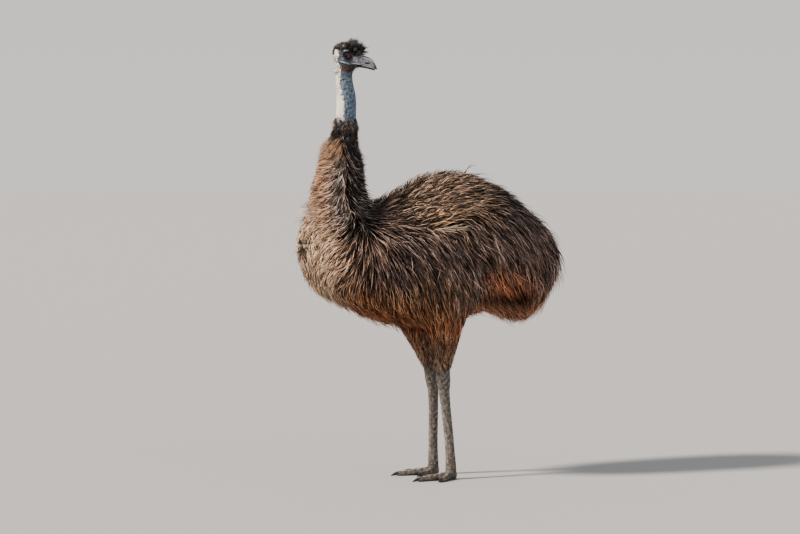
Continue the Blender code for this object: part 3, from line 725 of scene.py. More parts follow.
def steps(*parts):
    """Grid places with the given spacings: (start, spacing), ..., end."""
    out = []
    for (a, s), nxt in zip(parts[:-1], parts[1:]):
        b = nxt[0] if isinstance(nxt, tuple) else nxt
        out.append(a + (b - a) * np.arange(int(round((b - a) / s))) / int(round((b - a) / s)))
    return np.append(np.concatenate(out), parts[-1])


def leg_skin(p, side):
    d = limb_field(p, side, 1.0)[0]
    z = p[:, 2]
    for name, root, fwd, across, length in toe_places(side):
        al, ac = (p - root) @ fwd, (p - root) @ across
        t = np.clip(al / length, 0, 1)
        half, high = toe_size(t)
        half, high = half - 0.0009, high - 0.0009
        hh = 0.56 * high
        beyond = np.where(al > length, (al - length) / 0.007, np.where(al < 0, al / half, 0))
        rho = np.sqrt((ac / half) ** 2 + ((z - 0.44 * high) / hh) ** 2 + beyond**2)
        r = np.sqrt(ac**2 + (z - 0.44 * high) ** 2 + (np.maximum(al - length, 0) + np.minimum(al, 0)) ** 2) + 1e-6
        toe = r * (1 - 1 / np.maximum(rho, 0.12))
        d = soft(d, toe, 0.007)
    return np.maximum(d, 0.0004 - z)


def with_cut(fun, low=None, high=None):
    def f(p):
        d = fun(p)
        if low is not None:
            d = np.maximum(d, low - p[:, 2])
        if high is not None:
            d = np.maximum(d, p[:, 2] - high)
        return d
    return f


def body_skin(p):
    # drawn in slightly where the finer neck and legs take over
    z = p[:, 2]
    return skin_field(p)[0] + 0.0016 * step(1.24, 1.285, z) + 0.0012 * step(0.50, 0.465, z)


pieces = []
v, q = zone(steps((-0.064, 0.00128), 0.066), steps((-0.462, 0.00128), -0.318),
            steps((1.262, 0.003), (1.50, 0.0022), (1.56, 0.00128), 1.697), with_cut(head_or_neck, low=1.268))
v = settle(v, head_or_neck, 2, keep=v[:, 2] < 1.2715)
pieces.append(mesh_object("skin", v, q))
HEAD_V, HEAD_Q = v, q
v, q = zone(steps((-0.26, 0.0098), 0.26), steps((-0.60, 0.0098), 0.56), steps((0.44, 0.0098), 1.31),
            with_cut(body_skin, low=0.452, high=1.29))
v = settle(v, body_skin, 2, keep=(v[:, 2] < 0.462) | (v[:, 2] > 1.28))
pieces.append(mesh_object("skin_body", v, q))
BODY_V, BODY_Q = v, q
for side in (1, -1):
    fun = lambda p, s=side: leg_skin(p, s)
    x0, x1 = (0.0, 0.200) if side > 0 else (-0.200, 0.0)
    v, q = zone(steps((x0, 0.0024), x1), steps((-0.150, 0.0024), 0.062), steps((-0.004, 0.0024), 0.49),
                with_cut(fun, high=0.478))
    v = settle(v, fun, 2, keep=(v[:, 2] > 0.474) | (v[:, 2] < 0.0012))
    pieces.append(mesh_object(f"skin_leg{side}", v, q))
skin = pieces[0]
for other in pieces[1:]:
    mod = skin.modifiers.new("join", "BOOLEAN")
    mod.operation, mod.solver, mod.object = "UNION", "MANIFOLD", other
    graph = bpy.context.evaluated_depsgraph_get()
    joined = bpy.data.meshes.new_from_object(skin.evaluated_get(graph))
    skin.modifiers.clear()
    skin.data = joined
    bpy.data.objects.remove(other, do_unlink=True)
skin.name = "skin"
skin.data.polygons.foreach_set("use_smooth", np.ones(len(skin.data.polygons), bool))
skin.data.materials.clear()
skin.data.materials.append(SKIN_MAT)
SKIN_V = read_verts(skin)
set_colour(skin, skin_colour(SKIN_V))
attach(skin, "root")
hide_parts("head", "neck_upper", "neck_ruff", "neck_lower", "trunk", "tail", "wing_left", "wing_right", "crest",
            "drumstick_left", "drumstick_right", "shank_left", "shank_right", "foot_left", "foot_right")
print("skin", len(skin.data.vertices), len(skin.data.polygons))



# ================================================================ closed shapes from rows of rings
def ring_shape(name, rows, tip0=None, tip1=None):
    """rows is (rings, points round, 3); both ends close on a point."""
    m, n = rows.shape[:2]
    verts = rows.reshape(-1, 3)
    t0 = rows[0].mean(0) if tip0 is None else np.asarray(tip0)
    t1 = rows[-1].mean(0) if tip1 is None else np.asarray(tip1)
    verts = np.vstack([verts, t0, t1])
    i, j = np.meshgrid(np.arange(m - 1), np.arange(n), indexing="ij")
    a, b = i * n + j, i * n + (j + 1) % n
    quads = np.stack([a, b, b + n, a + n], -1).reshape(-1, 4)
    k = np.arange(n)
    cap0 = np.stack([np.full(n, m * n), (k + 1) % n, k], 1)
    cap1 = np.stack([np.full(n, m * n + 1), (m - 1) * n + k, (m - 1) * n + (k + 1) % n], 1)
    return verts, quads, np.vstack([cap0, cap1])


def outward(verts, quads, tris):
    """Turns every face round if the closed shape came out inside out."""
    t = np.vstack([quads[:, [0, 1, 2]], quads[:, [0, 2, 3]], tris])
    c = verts.mean(0)
    a, b, d = (verts[t[:, k]] - c for k in range(3))
    if np.einsum("ij,ij->i", a, np.cross(b, d)).sum() < 0:
        return quads[:, ::-1], tris[:, ::-1]
    return quads, tris


def add_shape(name, rows, mat, tip0=None, tip1=None, colour=None, replaces=()):
    verts, quads, tris = ring_shape(name, rows, tip0, tip1)
    quads, tris = outward(verts, quads, tris)
    obj = mesh_object(name, verts, [quads, tris])
    obj.data.materials.append(mat)
    if colour is not None:
        set_colour(obj, colour(read_verts(obj)))
    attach(obj, "root")
    if replaces:
        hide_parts(*replaces)
    return obj


# ================================================================ eyes
eye_mat, tree, bsdf = new_material("eye_wet", 0.12, 0.2)
bsdf.inputs["Coat Weight"].default_value = 0.30
bsdf.inputs["Coat Roughness"].default_value = 0.02
ring_at = node(tree, "ShaderNodeAttribute", attribute_name="ring")
coords = node(tree, "ShaderNodeAttribute", attribute_name="spoke")
streak = node(tree, "ShaderNodeTexNoise", Scale=9.0, Detail=3.0)
tree.links.new(coords.outputs["Vector"], streak.inputs["Vector"])
wander = node(tree, "ShaderNodeMath", operation="MULTIPLY_ADD")
wander.inputs[1].default_value = 0.10
tree.links.new(streak.outputs["Fac"], wander.inputs[0])
tree.links.new(ring_at.outputs["Fac"], wander.inputs[2])
iris = node(tree, "ShaderNodeValToRGB")
stops = [(0.0, (0.002, 0.002, 0.002, 1)), (0.27, (0.003, 0.002, 0.002, 1)), (0.34, (0.040, 0.012, 0.009, 1)), (0.52, (0.090, 0.027, 0.021, 1)),
         (0.80, (0.085, 0.024, 0.019, 1)), (0.96, (0.062, 0.018, 0.014, 1)), (1.0, (0.012, 0.006, 0.006, 1))]
while len(iris.color_ramp.elements) < len(stops):
    iris.color_ramp.elements.new(0.5)
for e, (place_, colour_) in zip(iris.color_ramp.elements, stops):
    e.position, e.color = place_, colour_
tree.links.new(wander.outputs[0], iris.inputs[0])
# painted light: the iris is made lighter in its lower part, where the eyeball falls in shade
lift = node(tree, "ShaderNodeAttribute", attribute_name="lift")             # the lower part of the iris is lighter
glow = node(tree, "ShaderNodeVectorMath", operation="SCALE")
tree.links.new(iris.outputs[0], glow.inputs[0])
tree.links.new(lift.outputs["Fac"], glow.inputs["Scale"])
tree.links.new(glow.outputs[0], bsdf.inputs["Base Color"])

for side, word in ((1, "left"), (-1, "right")):
    m, n = 44, 64
    phi = np.linspace(0.03, math.pi - 0.25, m)[:, None]
    th = np.linspace(0, 2 * math.pi, n, endpoint=False)[None, :]
    hu = EYE_C[0] + EYE_A[0] * np.sin(phi) * np.cos(th)
    hw = EYE_C[2] + EYE_A[2] * np.sin(phi) * np.sin(th)
    hv = side * (EYE_C[1] + EYE_A[1] * np.cos(phi) + 0 * th)
    rows = from_head(np.stack([hu, hv, hw], -1).reshape(-1, 3)).reshape(m, n, 3)
    eye = add_shape(f"eyeball_{word}", rows, eye_mat,
                    tip0=from_head((EYE_C[0], side * (EYE_C[1] + EYE_A[1]), 0))[0],
                    tip1=from_head((EYE_C[0], side * (EYE_C[1] - EYE_A[1]), 0))[0], replaces=(f"eye_{word}",))
    h = to_head(read_verts(eye))
    radius = np.hypot(h[:, 0] - EYE_C[0] - 0.03, h[:, 2] - EYE_C[2] + 0.08) / 1.48
    radius = np.where(np.abs(h[:, 1]) < EYE_C[1], 1.2, radius)
    a = eye.data.attributes.new("ring", "FLOAT", "POINT")
    a.data.foreach_set("value", (radius - 0.05).astype(np.float32))
    # painted light on the lower part of the iris
    a = eye.data.attributes.new("lift", "FLOAT", "POINT")
    a.data.foreach_set("value", (0.78 + 1.2 * step(-0.35, 1.15, 0.55 * (h[:, 0] - EYE_C[0]) - 0.84 * (h[:, 2] - EYE_C[2]))).astype(np.float32))
    ang = np.arctan2(h[:, 2], h[:, 0])
    a = eye.data.attributes.new("spoke", "FLOAT_VECTOR", "POINT")
    a.data.foreach_set("vector", np.stack([np.cos(ang) * 2, np.sin(ang) * 2, radius * 0.35], 1).astype(np.float32).ravel())


# ================================================================ bill
RIDGE = Curve([(4.3, 1.05), (5.03, 0.70), (6.2, 0.15), (7.6, -0.35), (8.8, -0.85), (9.7, -1.50), (10.6, -2.60), (11.25, -3.72), (11.6, -4.60)])
MOUTH = Curve([(4.3, -3.52), (6.2, -3.84), (7.7, -4.18), (9.0, -4.52), (10.4, -4.95), (11.6, -5.40)])
CHIN = Curve([(4.3, -4.50), (5.0, -4.62), (7.0, -4.96), (9.0, -5.34), (10.3, -5.62), (10.9, -5.72)])
BILL_HALF = Curve([(4.3, 1.78), (5.0, 1.92), (6.5, 1.68), (8.0, 1.36), (9.5, 0.98), (10.5, 0.70), (11.2, 0.44), (11.6, 0.22)])


def nostril(u, w):
    return ((u - 8.0 - 0.25 * (w + 3.0)) / 0.92) ** 2 + ((w + 2.98 + 0.05 * (u - 8)) / 0.27) ** 2


m, n = 120, 104
t = np.linspace(0, 1, m)
uu = (4.35 + (11.58 - 4.35) * t**0.9)[:, None]
a = np.linspace(0, 2 * math.pi, n, endpoint=False)[None, :]
across, up = np.sin(a), np.cos(a)
top, low, half = RIDGE(uu), MOUTH(uu) + 0.02, BILL_HALF(uu)
t2 = (1 + up) / 2
ww = low + (top - low) * t2**0.9
width = half * (1.0 - 0.55 * t2**1.3) * np.abs(across) ** 0.75
# the long hollow of the nose beside the ridge, a swelling over the nostril and the nostril itself
fade = step(4.8, 5.6, uu) * step(10.3, 9.2, uu)
width = width - 0.13 * fade * bell(t2, 0.60, 0.13) * half
width = width + 0.07 * bell(uu, 7.6, 1.3) * bell(ww, -2.45, 0.45)
hole = nostril(uu, ww)
width = width - 0.42 * step(1.15, 0.55, hole) * (t2 < 0.75)
width = width + 0.035 * bell(np.sqrt(hole), 1.25, 0.22)
# a raised rim along the cutting edge and faint growth lines
width = width + 0.035 * bell(t2, 0.10, 0.06) * step(4.8, 6.0, uu)
width = width + 0.007 * np.sin(uu * 9.0 + 2.0 * t2 * 6) * step(8.0, 9.5, uu)
width = np.maximum(width, 0.0)
vv = np.sign(across) * width
ww = ww - 0.10 * np.exp(-((t2 / 0.02) ** 2)) * -1.0 * step(11.3, 9.0, uu)
rows = from_head(np.stack([uu + 0 * a, vv, ww], -1).reshape(-1, 3)).reshape(m, n, 3)


def upper_colour(p):
    h = to_head(p)
    u, v, w = h[:, 0], np.abs(h[:, 1]), h[:, 2]
    n1, n2 = waves(p, 0.02, 21), waves(p, 0.004, 22)
    t2 = np.clip((w - MOUTH(u)) / (RIDGE(u) - MOUTH(u) + 1e-3), 0, 1)
    col = np.tile((0.27, 0.265, 0.30), (len(p), 1)) * (1 + 0.18 * n1 + 0.14 * n2)[:, None]
    col = nose_marks_and_highlights(col, u, w, step(9.0, 7.6, u))
    # painted highlights: the pale line beside the ridge and the pale spot over the nostril's swelling
    col = mix3(col, (0.66, 0.65, 0.62), bell(t2, 0.83, 0.08) * step(6.4, 7.4, u) * step(10.6, 9.2, u) * 0.95)    # pale line beside the ridge
    col = mix3(col, (0.50, 0.50, 0.52), bell(np.hypot((u - 7.7) * 1.0, w + 2.0), 0.0, 0.42) * 0.9)
    col = mix3(col, (0.016, 0.015, 0.017), step(0.885, 0.935, t2) * step(5.8, 6.6, u) * 0.97)                    # black ridge
    col = mix3(col, (0.52, 0.50, 0.47), bell(t2, 0.15, 0.07) * step(10.2, 8.6, u) * 0.75)                        # pale edge
    col = mix3(col, (0.015, 0.014, 0.016), step(10.3, 11.2, u + 0.35 * n2))                                       # dark tip
    # painted shadow along the cutting edge, where the mouth's gap is in shade
    col = mix3(col, (0.020, 0.018, 0.020), step(0.07, 0.02, t2) * step(5.6, 7.0, u))                             # cutting edge
    hole = nostril(u, w)
    # painted shade inside the nostril
    col = mix3(col, (0.012, 0.012, 0.014), step(1.3, 0.85, hole) * (t2 < 0.75) * step(5.5, 6.5, u))
    return np.clip(col, 0.004, 1)


add_shape("bill_upper_horn", rows, HORN_MAT, tip1=from_head((11.76, 0, -5.20))[0], colour=upper_colour, replaces=("bill_upper",))

m, n = 80, 56
t = np.linspace(0, 1, m)
uu = (4.35 + (10.85 - 4.35) * t**0.9)[:, None]
a = np.linspace(0, 2 * math.pi, n, endpoint=False)[None, :]
across, up = np.sin(a), np.cos(a)
top, low, half = MOUTH(uu) - 0.03, CHIN(uu), BILL_HALF(uu) * 0.93
ww = (top + low) / 2 + (top - low) / 2 * up
# hollow under the chin between the two arms of the lower bill
ww = ww + 0.16 * np.exp(-((half * across / 0.45) ** 2)) * (up < 0) * step(9.4, 8.0, uu)
vv = half * np.sign(across) * np.abs(across) ** 0.8
rows = from_head(np.stack([uu + 0 * a, vv, ww], -1).reshape(-1, 3)).reshape(m, n, 3)


def lower_colour(p):
    h = to_head(p)
    n1 = waves(p, 0.008, 25)
    # near black: the lower bill's own dark horn and painted shade under the upper bill
    col = np.tile((0.020, 0.019, 0.021), (len(p), 1)) * (1 + 0.2 * n1)[:, None]
    return mix3(col, (0.15, 0.145, 0.15), step(9.2, 6.0, h[:, 0]) * step(-4.35, -4.62, h[:, 2]) * 0.8)


add_shape("bill_lower_horn", rows, HORN_MAT, tip1=from_head((11.05, 0, -5.60))[0], colour=lower_colour, replaces=("bill_lower",))


# ================================================================ claws
def claw_colour(p):
    n1 = waves(p, 0.01, 31)
    col = np.tile((0.035, 0.031, 0.028), (len(p), 1)) * (1 + 0.3 * n1)[:, None]
    return mix3(col, (0.10, 0.085, 0.07), step(0.006, 0.001, p[:, 2]) * 0.7)


for side, word in ((1, "left"), (-1, "right")):
    for name, root, fwd, across, length in toe_places(side):
        long = CLAW * (1.0 if name == "middle" else 0.8)
        base = root + fwd * (length + 0.0004)
        m, n = 26, 24
        t = np.linspace(-0.16, 0.975, m)[:, None]
        tc = np.maximum(t, 0)
        a = np.linspace(0, 2 * math.pi, n, endpoint=False)[None, :]
        half = 0.0066 * (1 - tc**1.6) * (1 - 0.5 * step(0.0, -0.16, t))
        top = 0.0150 * (1 - tc**2.0) + 0.0028 - 0.004 * step(0.0, -0.16, t)
        low = 0.0035 * (1 - tc) + 0.0006 + 0.001 * step(0.0, -0.16, t)
        # a keel on top and a hollow underneath
        grow = 1 - 0.16 * np.exp(-((np.abs(np.sin(a)) - 0.62) / 0.2) ** 2) * (np.cos(a) > 0) * (1 - tc)
        growth = 1 + 0.012 * np.sin(tc * 46) * (1 - tc)
        x = half * np.sin(a) * grow * growth
        z = (top + low) / 2 + (top - low) / 2 * np.cos(a) * growth
        rows = base + fwd * (long * t + 0 * a)[..., None] + across * x[..., None] + np.array([0, 0, 1.0]) * z[..., None]
        add_shape(f"claw_horn_{name}_{word}", rows, CLAW_MAT, tip1=base + fwd * long + np.array([0, 0, 0.0012]),
                  colour=claw_colour, replaces=(f"claw_{name}_{word}",))


# ================================================================ leg scales
def leg_point(side, ang, z, out):
    """A place on the bare leg: ang is 0 in front and grows to the bird's left."""
    cx, cy = leg_axis(side, z)
    w, d = LEG_W(z) - LEG_INSET(z), LEG_D(z) - LEG_INSET(z)
    sa, ca = np.sin(ang), np.cos(ang)
    nx, ny = sa / w, -ca / d
    nl = np.hypot(nx, ny)
    return np.stack([cx + w * sa + out * nx / nl, cy - d * ca + out * ny / nl, z + 0 * ang], -1)


def toe_point(root, fwd, across, length, t, ang, out):
    """ang is 0 on top of the toe, plus and minus to its sides."""
    half, high = toe_size(t)
    half, high = half - 0.0009, high - 0.0009
    sa, ca = np.sin(ang), np.cos(ang)
    x, z = half * sa, high * (0.44 + 0.56 * ca)
    nx, nz = sa / half, ca / (0.56 * high)
    nl = np.hypot(nx, nz)
    return (root + fwd * (length * t)[..., None] + across * (x + out * nx / nl)[..., None]
            + np.array([0, 0, 1.0]) * np.maximum(z + out * nz / nl, 0.0012)[..., None])


def plates(surface, a0, a1, b0, b1, rise, sink, na, nb, shade, jitter=0.0):
    """Closed domed plates on a surface(a, b, out), one for each pair of ranges; na and nb are its divisions."""
    k = len(a0)
    s = np.linspace(0, 1, na + 1)[None, :, None]
    r = np.linspace(0, 1, nb + 1)[None, None, :]
    A = a0[:, None, None] + (a1 - a0)[:, None, None] * s + 0 * r
    B = b0[:, None, None] + (b1 - b0)[:, None, None] * r + 0 * s
    edge = np.minimum(np.minimum(s, 1 - s) * na, np.minimum(r, 1 - r) * nb)
    dome = np.where(edge < 0.5, -sink, rise[:, None, None] * (0.72 + 0.28 * np.minimum(np.sin(math.pi * s), np.sin(math.pi * r))))
    # the last row before the edge stands nearly as high, so each plate has a crisp rim
    P = surface(A, B, dome + 0 * A)
    idx = np.arange((na + 1) * (nb + 1)).reshape(na + 1, nb + 1)
    q = np.stack([idx[:-1, :-1], idx[1:, :-1], idx[1:, 1:], idx[:-1, 1:]], -1).reshape(-1, 4)
    loop = np.concatenate([idx[:, 0], idx[-1, 1:], idx[-2::-1, -1], idx[0, -2:0:-1]])
    n = (na + 1) * (nb + 1)
    centre = P.reshape(k, -1, 3)[:, loop].mean(1)
    deep = surface(a0 * 0.5 + a1 * 0.5, b0 * 0.5 + b1 * 0.5, np.full(k, -2.2 * sink))
    verts = np.concatenate([P.reshape(k, n, 3), deep[:, None]], 1)
    fan = np.stack([np.full(len(loop), n), loop, np.roll(loop, -1)], 1)
    off = (np.arange(k) * (n + 1))[:, None, None]
    return verts.reshape(-1, 3), (q[None] + off).reshape(-1, 4), (fan[None] + off).reshape(-1, 3), np.repeat(shade, n + 1)


def beads(surface, a, b, ra, rb, rise, sink, shade):
    """Closed six-sided domes centred on a surface at (a, b)."""
    k = len(a)
    th = np.arange(6) * math.pi / 3
    out = []
    for f, o in ((1.0, -sink), (0.66, 0.86)):
        out.append(surface(a[:, None] + f * ra[:, None] * np.cos(th), b[:, None] + f * rb[:, None] * np.sin(th),
                           (np.full((k, 6), o) if o < 0 else np.repeat((rise * o)[:, None], 6, 1))))
    top = surface(a, b, rise)[:, None]
    deep = surface(a, b, np.full(k, -2.5 * sink))[:, None]
    verts = np.concatenate(out + [top, deep], 1)
    j = np.arange(6)
    quads = np.stack([j, (j + 1) % 6, 6 + (j + 1) % 6, 6 + j], 1)
    tris = np.vstack([np.stack([np.full(6, 12), 6 + j, 6 + (j + 1) % 6], 1), np.stack([np.full(6, 13), (j + 1) % 6, j], 1)])
    off = (np.arange(k) * 14)[:, None, None]
    return verts.reshape(-1, 3), (quads[None] + off).reshape(-1, 4), (tris[None] + off).reshape(-1, 3), np.repeat(shade, 14)


def join_parts(parts):
    vs, qs, ts, ss, at = [], [], [], [], 0
    for v, q, t, s in parts:
        vs.append(v), qs.append(q + at), ts.append(t + at), ss.append(s)
        at += len(v)
    return np.vstack(vs), np.vstack(qs), np.vstack(ts), np.concatenate(ss)


for side, word in ((1, "left"), (-1, "right")):
    r = np.random.RandomState(700 + side)
    parts = []
    surf = lambda a, b, o, s=side: leg_point(s, a, b, o)
    # small scales in staggered rows all round the shank and the hock
    rows_z = np.arange(0.046, 0.449, 0.0044)
    A, B, RA, RB = [], [], [], []
    for i, z in enumerate(rows_z):
        girth = math.pi * (LEG_W(z) + LEG_D(z))
        count = int(round(girth / 0.0055))
        ang = (np.arange(count) + 0.5 * (i % 2)) * 2 * math.pi / count
        ang = (ang + math.pi) % (2 * math.pi) - math.pi
        front = (z > 0.050) & (z < 0.345)
        keep = ~((np.abs(ang) < 0.98) & front)
        A.append(ang[keep]), B.append(np.full(keep.sum(), z))
        RA.append(np.full(keep.sum(), 0.62 * 2 * math.pi / count)), RB.append(np.full(keep.sum(), 0.00305))
    A, B, RA, RB = map(np.concatenate, (A, B, RA, RB))
    A, B = A + r.normal(0, 0.09, len(A)) * RA, B + r.normal(0, 0.00025, len(B))
    shade = np.exp(r.normal(0, 0.22, len(A)))
    parts.append(beads(surf, A, B, RA, RB, r.uniform(0.0007, 0.0012, len(A)), 0.0006, shade))
    # broad plates down the front
    z0 = [0.345]
    while z0[-1] > 0.056:
        z0.append(z0[-1] - r.uniform(0.0072, 0.0098))
    z0 = np.array(z0)
    wide = 0.80 + 0.10 * r.uniform(-1, 1, len(z0) - 1)
    sh = r.uniform(-0.08, 0.08, len(z0) - 1)
    parts.append(plates(surf, sh - wide, sh + wide, z0[1:] + 0.0003, z0[:-1] - 0.0003, np.full(len(wide), 0.0013), 0.0006, 8, 4,
                        np.exp(r.normal(0, 0.18, len(wide)))))
    for name, root, fwd, across, length in toe_places(side):
        tsurf = lambda b, a, o, R=root, F_=fwd, X=across, L=length: toe_point(R, F_, X, L, b, a, o)
        start = 0.22 if name == "middle" else 0.34
        t = np.arange(start, 0.985, 0.0062 / length)
        parts.append(plates(tsurf, t[:-1] + 0.0005 / length, t[1:] - 0.0003 / length, np.full(len(t) - 1, -0.95), np.full(len(t) - 1, 0.95),
                            np.full(len(t) - 1, 0.0012), 0.0006, 4, 8, np.exp(r.normal(0, 0.18, len(t) - 1))))
        for s in (-1, 1):
            for row, ang in enumerate((1.14, 1.42, 1.70)):
                tt = np.arange(start + 0.02, 0.96, 0.0046 / length) + (row % 2) * 0.0023 / length
                k = len(tt)
                parts.append(beads(tsurf, tt, np.full(k, s * ang), np.full(k, 0.0030 / length), np.full(k, 0.17), np.full(k, 0.0008), 0.0005,
                                   np.exp(r.normal(0, 0.2, k))))
    V, Q, T, S = join_parts(parts)
    obj = mesh_object(f"leg_scales_{word}", V, [Q, T])
    obj.data.materials.append(SCALE_MAT)
    n1, n2 = waves(V, 0.09, 41), waves(V, 0.018, 42)
    col = np.tile((0.165, 0.140, 0.118), (len(V), 1)) * (S * (1 + 0.22 * n1 + 0.25 * n2))[:, None]
    col = mix3(col, (0.30, 0.265, 0.23), np.clip(n2 - 0.35, 0, 1) * 0.8)
    col = mix3(col, (0.055, 0.047, 0.042), np.clip(-n2 * 0.9 - 0.25 + 0.3 * n1, 0, 1))
    set_colour(obj, np.clip(col, 0.01, 1))
    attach(obj, "root")
    print(obj.name, len(Q) * 2 + len(T))


# ================================================================ plumage: how it lies
def both_fields(p):
    """Distance to the plumage's outer surface and to the skin, the gradients, and how much of this place is neck."""
    td, tg = trunk_field(p)
    nc, ncg = neck_field(p, NECK_COAT)
    ns, nsg = neck_field(p, NECK_SKIN)
    outer = smin((td, tg), (nc, ncg), 0.05)
    inner = smin((td + TRUNK_COAT, tg), (ns, nsg), 0.07)
    low = p[:, 2] < 0.95
    if low.any():
        q = p[low]
        o, i = (outer[0][low], outer[1][low]), (inner[0][low], inner[1][low])
        for side in (1, -1):
            o = smin(o, limb_field(q, side, 0.0), 0.02)
            i = smin(i, limb_field(q, side, 1.0), 0.02)
        for whole, part in ((outer, o), (inner, i)):
            whole[0][low], whole[1][low] = part
    return outer, inner, step(-0.02, 0.05, td - nc)


def at_level(p, h, rounds=1):
    """Moves points onto the surface a share h of the way from the skin to the outer surface."""
    for _ in range(rounds):
        (e, ge), (s, gs), neck = both_fields(p)
        g = h * e + (1 - h) * s
        gg = h[:, None] * ge + (1 - h)[:, None] * gs
        gl = np.maximum(np.linalg.norm(gg, axis=1), 0.3)
        p = p - (np.clip(g / gl, -0.04, 0.04) / gl)[:, None] * gg
    return p, unit(gg), np.maximum(s - e, 0.002), neck


# height of the line along each flank where the back's feathers part from the side's
PARTING = Curve([(-0.60, 1.14), (-0.50, 1.13), (-0.435, 1.07), (-0.38, 1.030), (-0.30, 1.000), (-0.04, 0.985), (0.10, 1.03), (0.28, 1.035), (0.42, 0.97), (0.54, 0.87)])
SHOULDER = np.array([0.155, -0.385, 1.012])
RUFFLE = np.array([0.19, -0.046, 1.030])


def flow(p, n, neck):
    """The direction in which the feathers point here, before it is laid on the surface."""
    x, y, z = p.T
    one, none = np.ones(len(p)), np.zeros(len(p))
    sx = x / np.sqrt(x * x + 0.03**2)
    down, back, side = np.stack([none, none, -one], 1), np.stack([none, one, none], 1), np.stack([sx, none, none], 1)
    spine = bell(x, 0, 0.06)
    rear = step(0.10, 0.45, y)
    upper = back + side * (0.22 + 0.55 * spine)[:, None] + down * (0.10 + 0.75 * rear)[:, None]
    rel = p - SHOULDER * np.stack([np.sign(x), one, one], 1)
    dist = np.linalg.norm(rel, axis=1)
    along = 0.52 * step(-0.40, -0.12, y) * (1 - 0.6 * step(0.84, 0.66, z)) - 1.15 * step(-0.34, -0.50, y) * step(0.66, 0.80, z) * step(0.055, 0.11, np.abs(x)) - 0.16 * step(0.20, 0.5, y)
    inward = 0.35 * step(-0.38, -0.52, y) * step(0.66, 0.80, z) * step(0.05, 0.12, np.abs(x))
    lower = down + back * along[:, None] - side * inward[:, None] + unit(rel) * (1.3 * bell(dist, 0, 0.23))[:, None]
    # one ruffled tuft on the left of the back
    lift = bell(np.linalg.norm((p - RUFFLE) / np.array([0.12, 0.085, 0.032]), axis=1), 0, 1)
    upper = upper + np.stack([none, 0.3 * one, 1.3 * one], 1) * lift[:, None]
    under = np.clip(-n[:, 2] - 0.35, 0, 1) * step(0.60, 0.66, z)
    lower = lower + back * (0.6 * under)[:, None] + side * (0.5 * under)[:, None]
    thigh = step(0.66, 0.56, z)
    lower = lower * (1 - thigh)[:, None] + (down + back * 0.12) * thigh[:, None]
    w = step(-0.04, 0.05, z - PARTING(y))[:, None]
    trunk = unit(upper) * w + unit(lower) * (1 - w)
    # the neck's feathers fall away from its parting on both sides
    a = around_neck(p)
    th = a + np.radians(NAPE(z))
    s = a / np.sqrt(a * a + 0.08**2)
    spread = (0.50 + 1.60 * step(0.12, 1.15, np.abs(a))) * step(math.pi, 2.4, np.abs(a)) * (1 - 0.35 * step(0.2, -0.6, a) * step(1.22, 1.28, z))
    tang = np.stack([-np.sin(th) * s, np.cos(th) * s, none], 1)
    around = down + tang * spread[:, None]
    return unit(around) * neck[:, None] + trunk * (1 - neck)[:, None]


def spin(v, n, ang):
    """Turns v about n."""
    c, s = np.cos(ang)[:, None], np.sin(ang)[:, None]
    return v * c + np.cross(n, v) * s


PATH_T = np.array([0.0, 0.36, 0.70, 1.0])


def grow(root, length, h1, turn, bow, waver):
    """Paths of four points from the skin outwards, with the normal of the coat at each."""
    p, n, depth, neck = at_level(root, np.full(len(root), -0.06))
    path, normals = [p], [n]
    h = np.full(len(root), -0.06)
    last = None
    for k in range(3):
        for sub in (0.5, 1.0):
            t = PATH_T[k] + (PATH_T[k + 1] - PATH_T[k]) * sub
            ds = length * (PATH_T[k + 1] - PATH_T[k]) * 0.5
            v = flow(p, n, neck)
            v = v - n * np.einsum("ij,ij->i", v, n)[:, None]
            v = spin(unit(v), n, turn + bow * t + waver * waves(p, 0.16, 77, 1))
            if last is not None:
                v = unit(v * 0.65 + last * 0.35)
            nh = -0.06 + (h1 + 0.06) * (1 - (1 - t) ** 1.7)
            rise = np.clip((nh - h) * depth, -0.9 * ds, 0.9 * ds)
            q = p + v * np.sqrt(np.maximum(ds**2 - rise**2, 0))[:, None] + n * rise[:, None]
            h = nh
            new, n, depth, neck = at_level(q, h)
            last = unit(new - p)
            p = new
        path.append(p)
        normals.append(n)
    return np.stack(path, 1), np.stack(normals, 1)


def nearest(points, seeds):
    """Index of the nearest seed for each point."""
    tree = KDTree(len(seeds))
    for i, s in enumerate(seeds):
        tree.insert(s, i)
    tree.balance()
    return np.array([tree.find(q)[1] for q in points])


def scatter(verts, quads, count, density, rng):
    """Evenly jittered places on a mesh."""
    tri = np.vstack([quads[:, [0, 1, 2]], quads[:, [0, 2, 3]]])
    order = np.argsort(verts[tri].mean(1) @ np.array([0.31, 0.83, 1.7]))
    tri = tri[order]
    a, b, c = (verts[tri[:, k]] for k in range(3))
    area = np.linalg.norm(np.cross(b - a, c - a), axis=1) / 2
    w = np.cumsum(area * density((a + b + c) / 3))
    pick = np.searchsorted(w, (np.arange(count) + rng.uniform(size=count)) / count * w[-1] * 0.999999)
    r1, r2 = np.sqrt(rng.uniform(size=count))[:, None], rng.uniform(size=count)[:, None]
    return a[pick] * (1 - r1) + b[pick] * (r1 * (1 - r2)) + c[pick] * (r1 * r2)


# ================================================================ plumage: meshes of closed three-sided locks
COAT_FACES = [0]


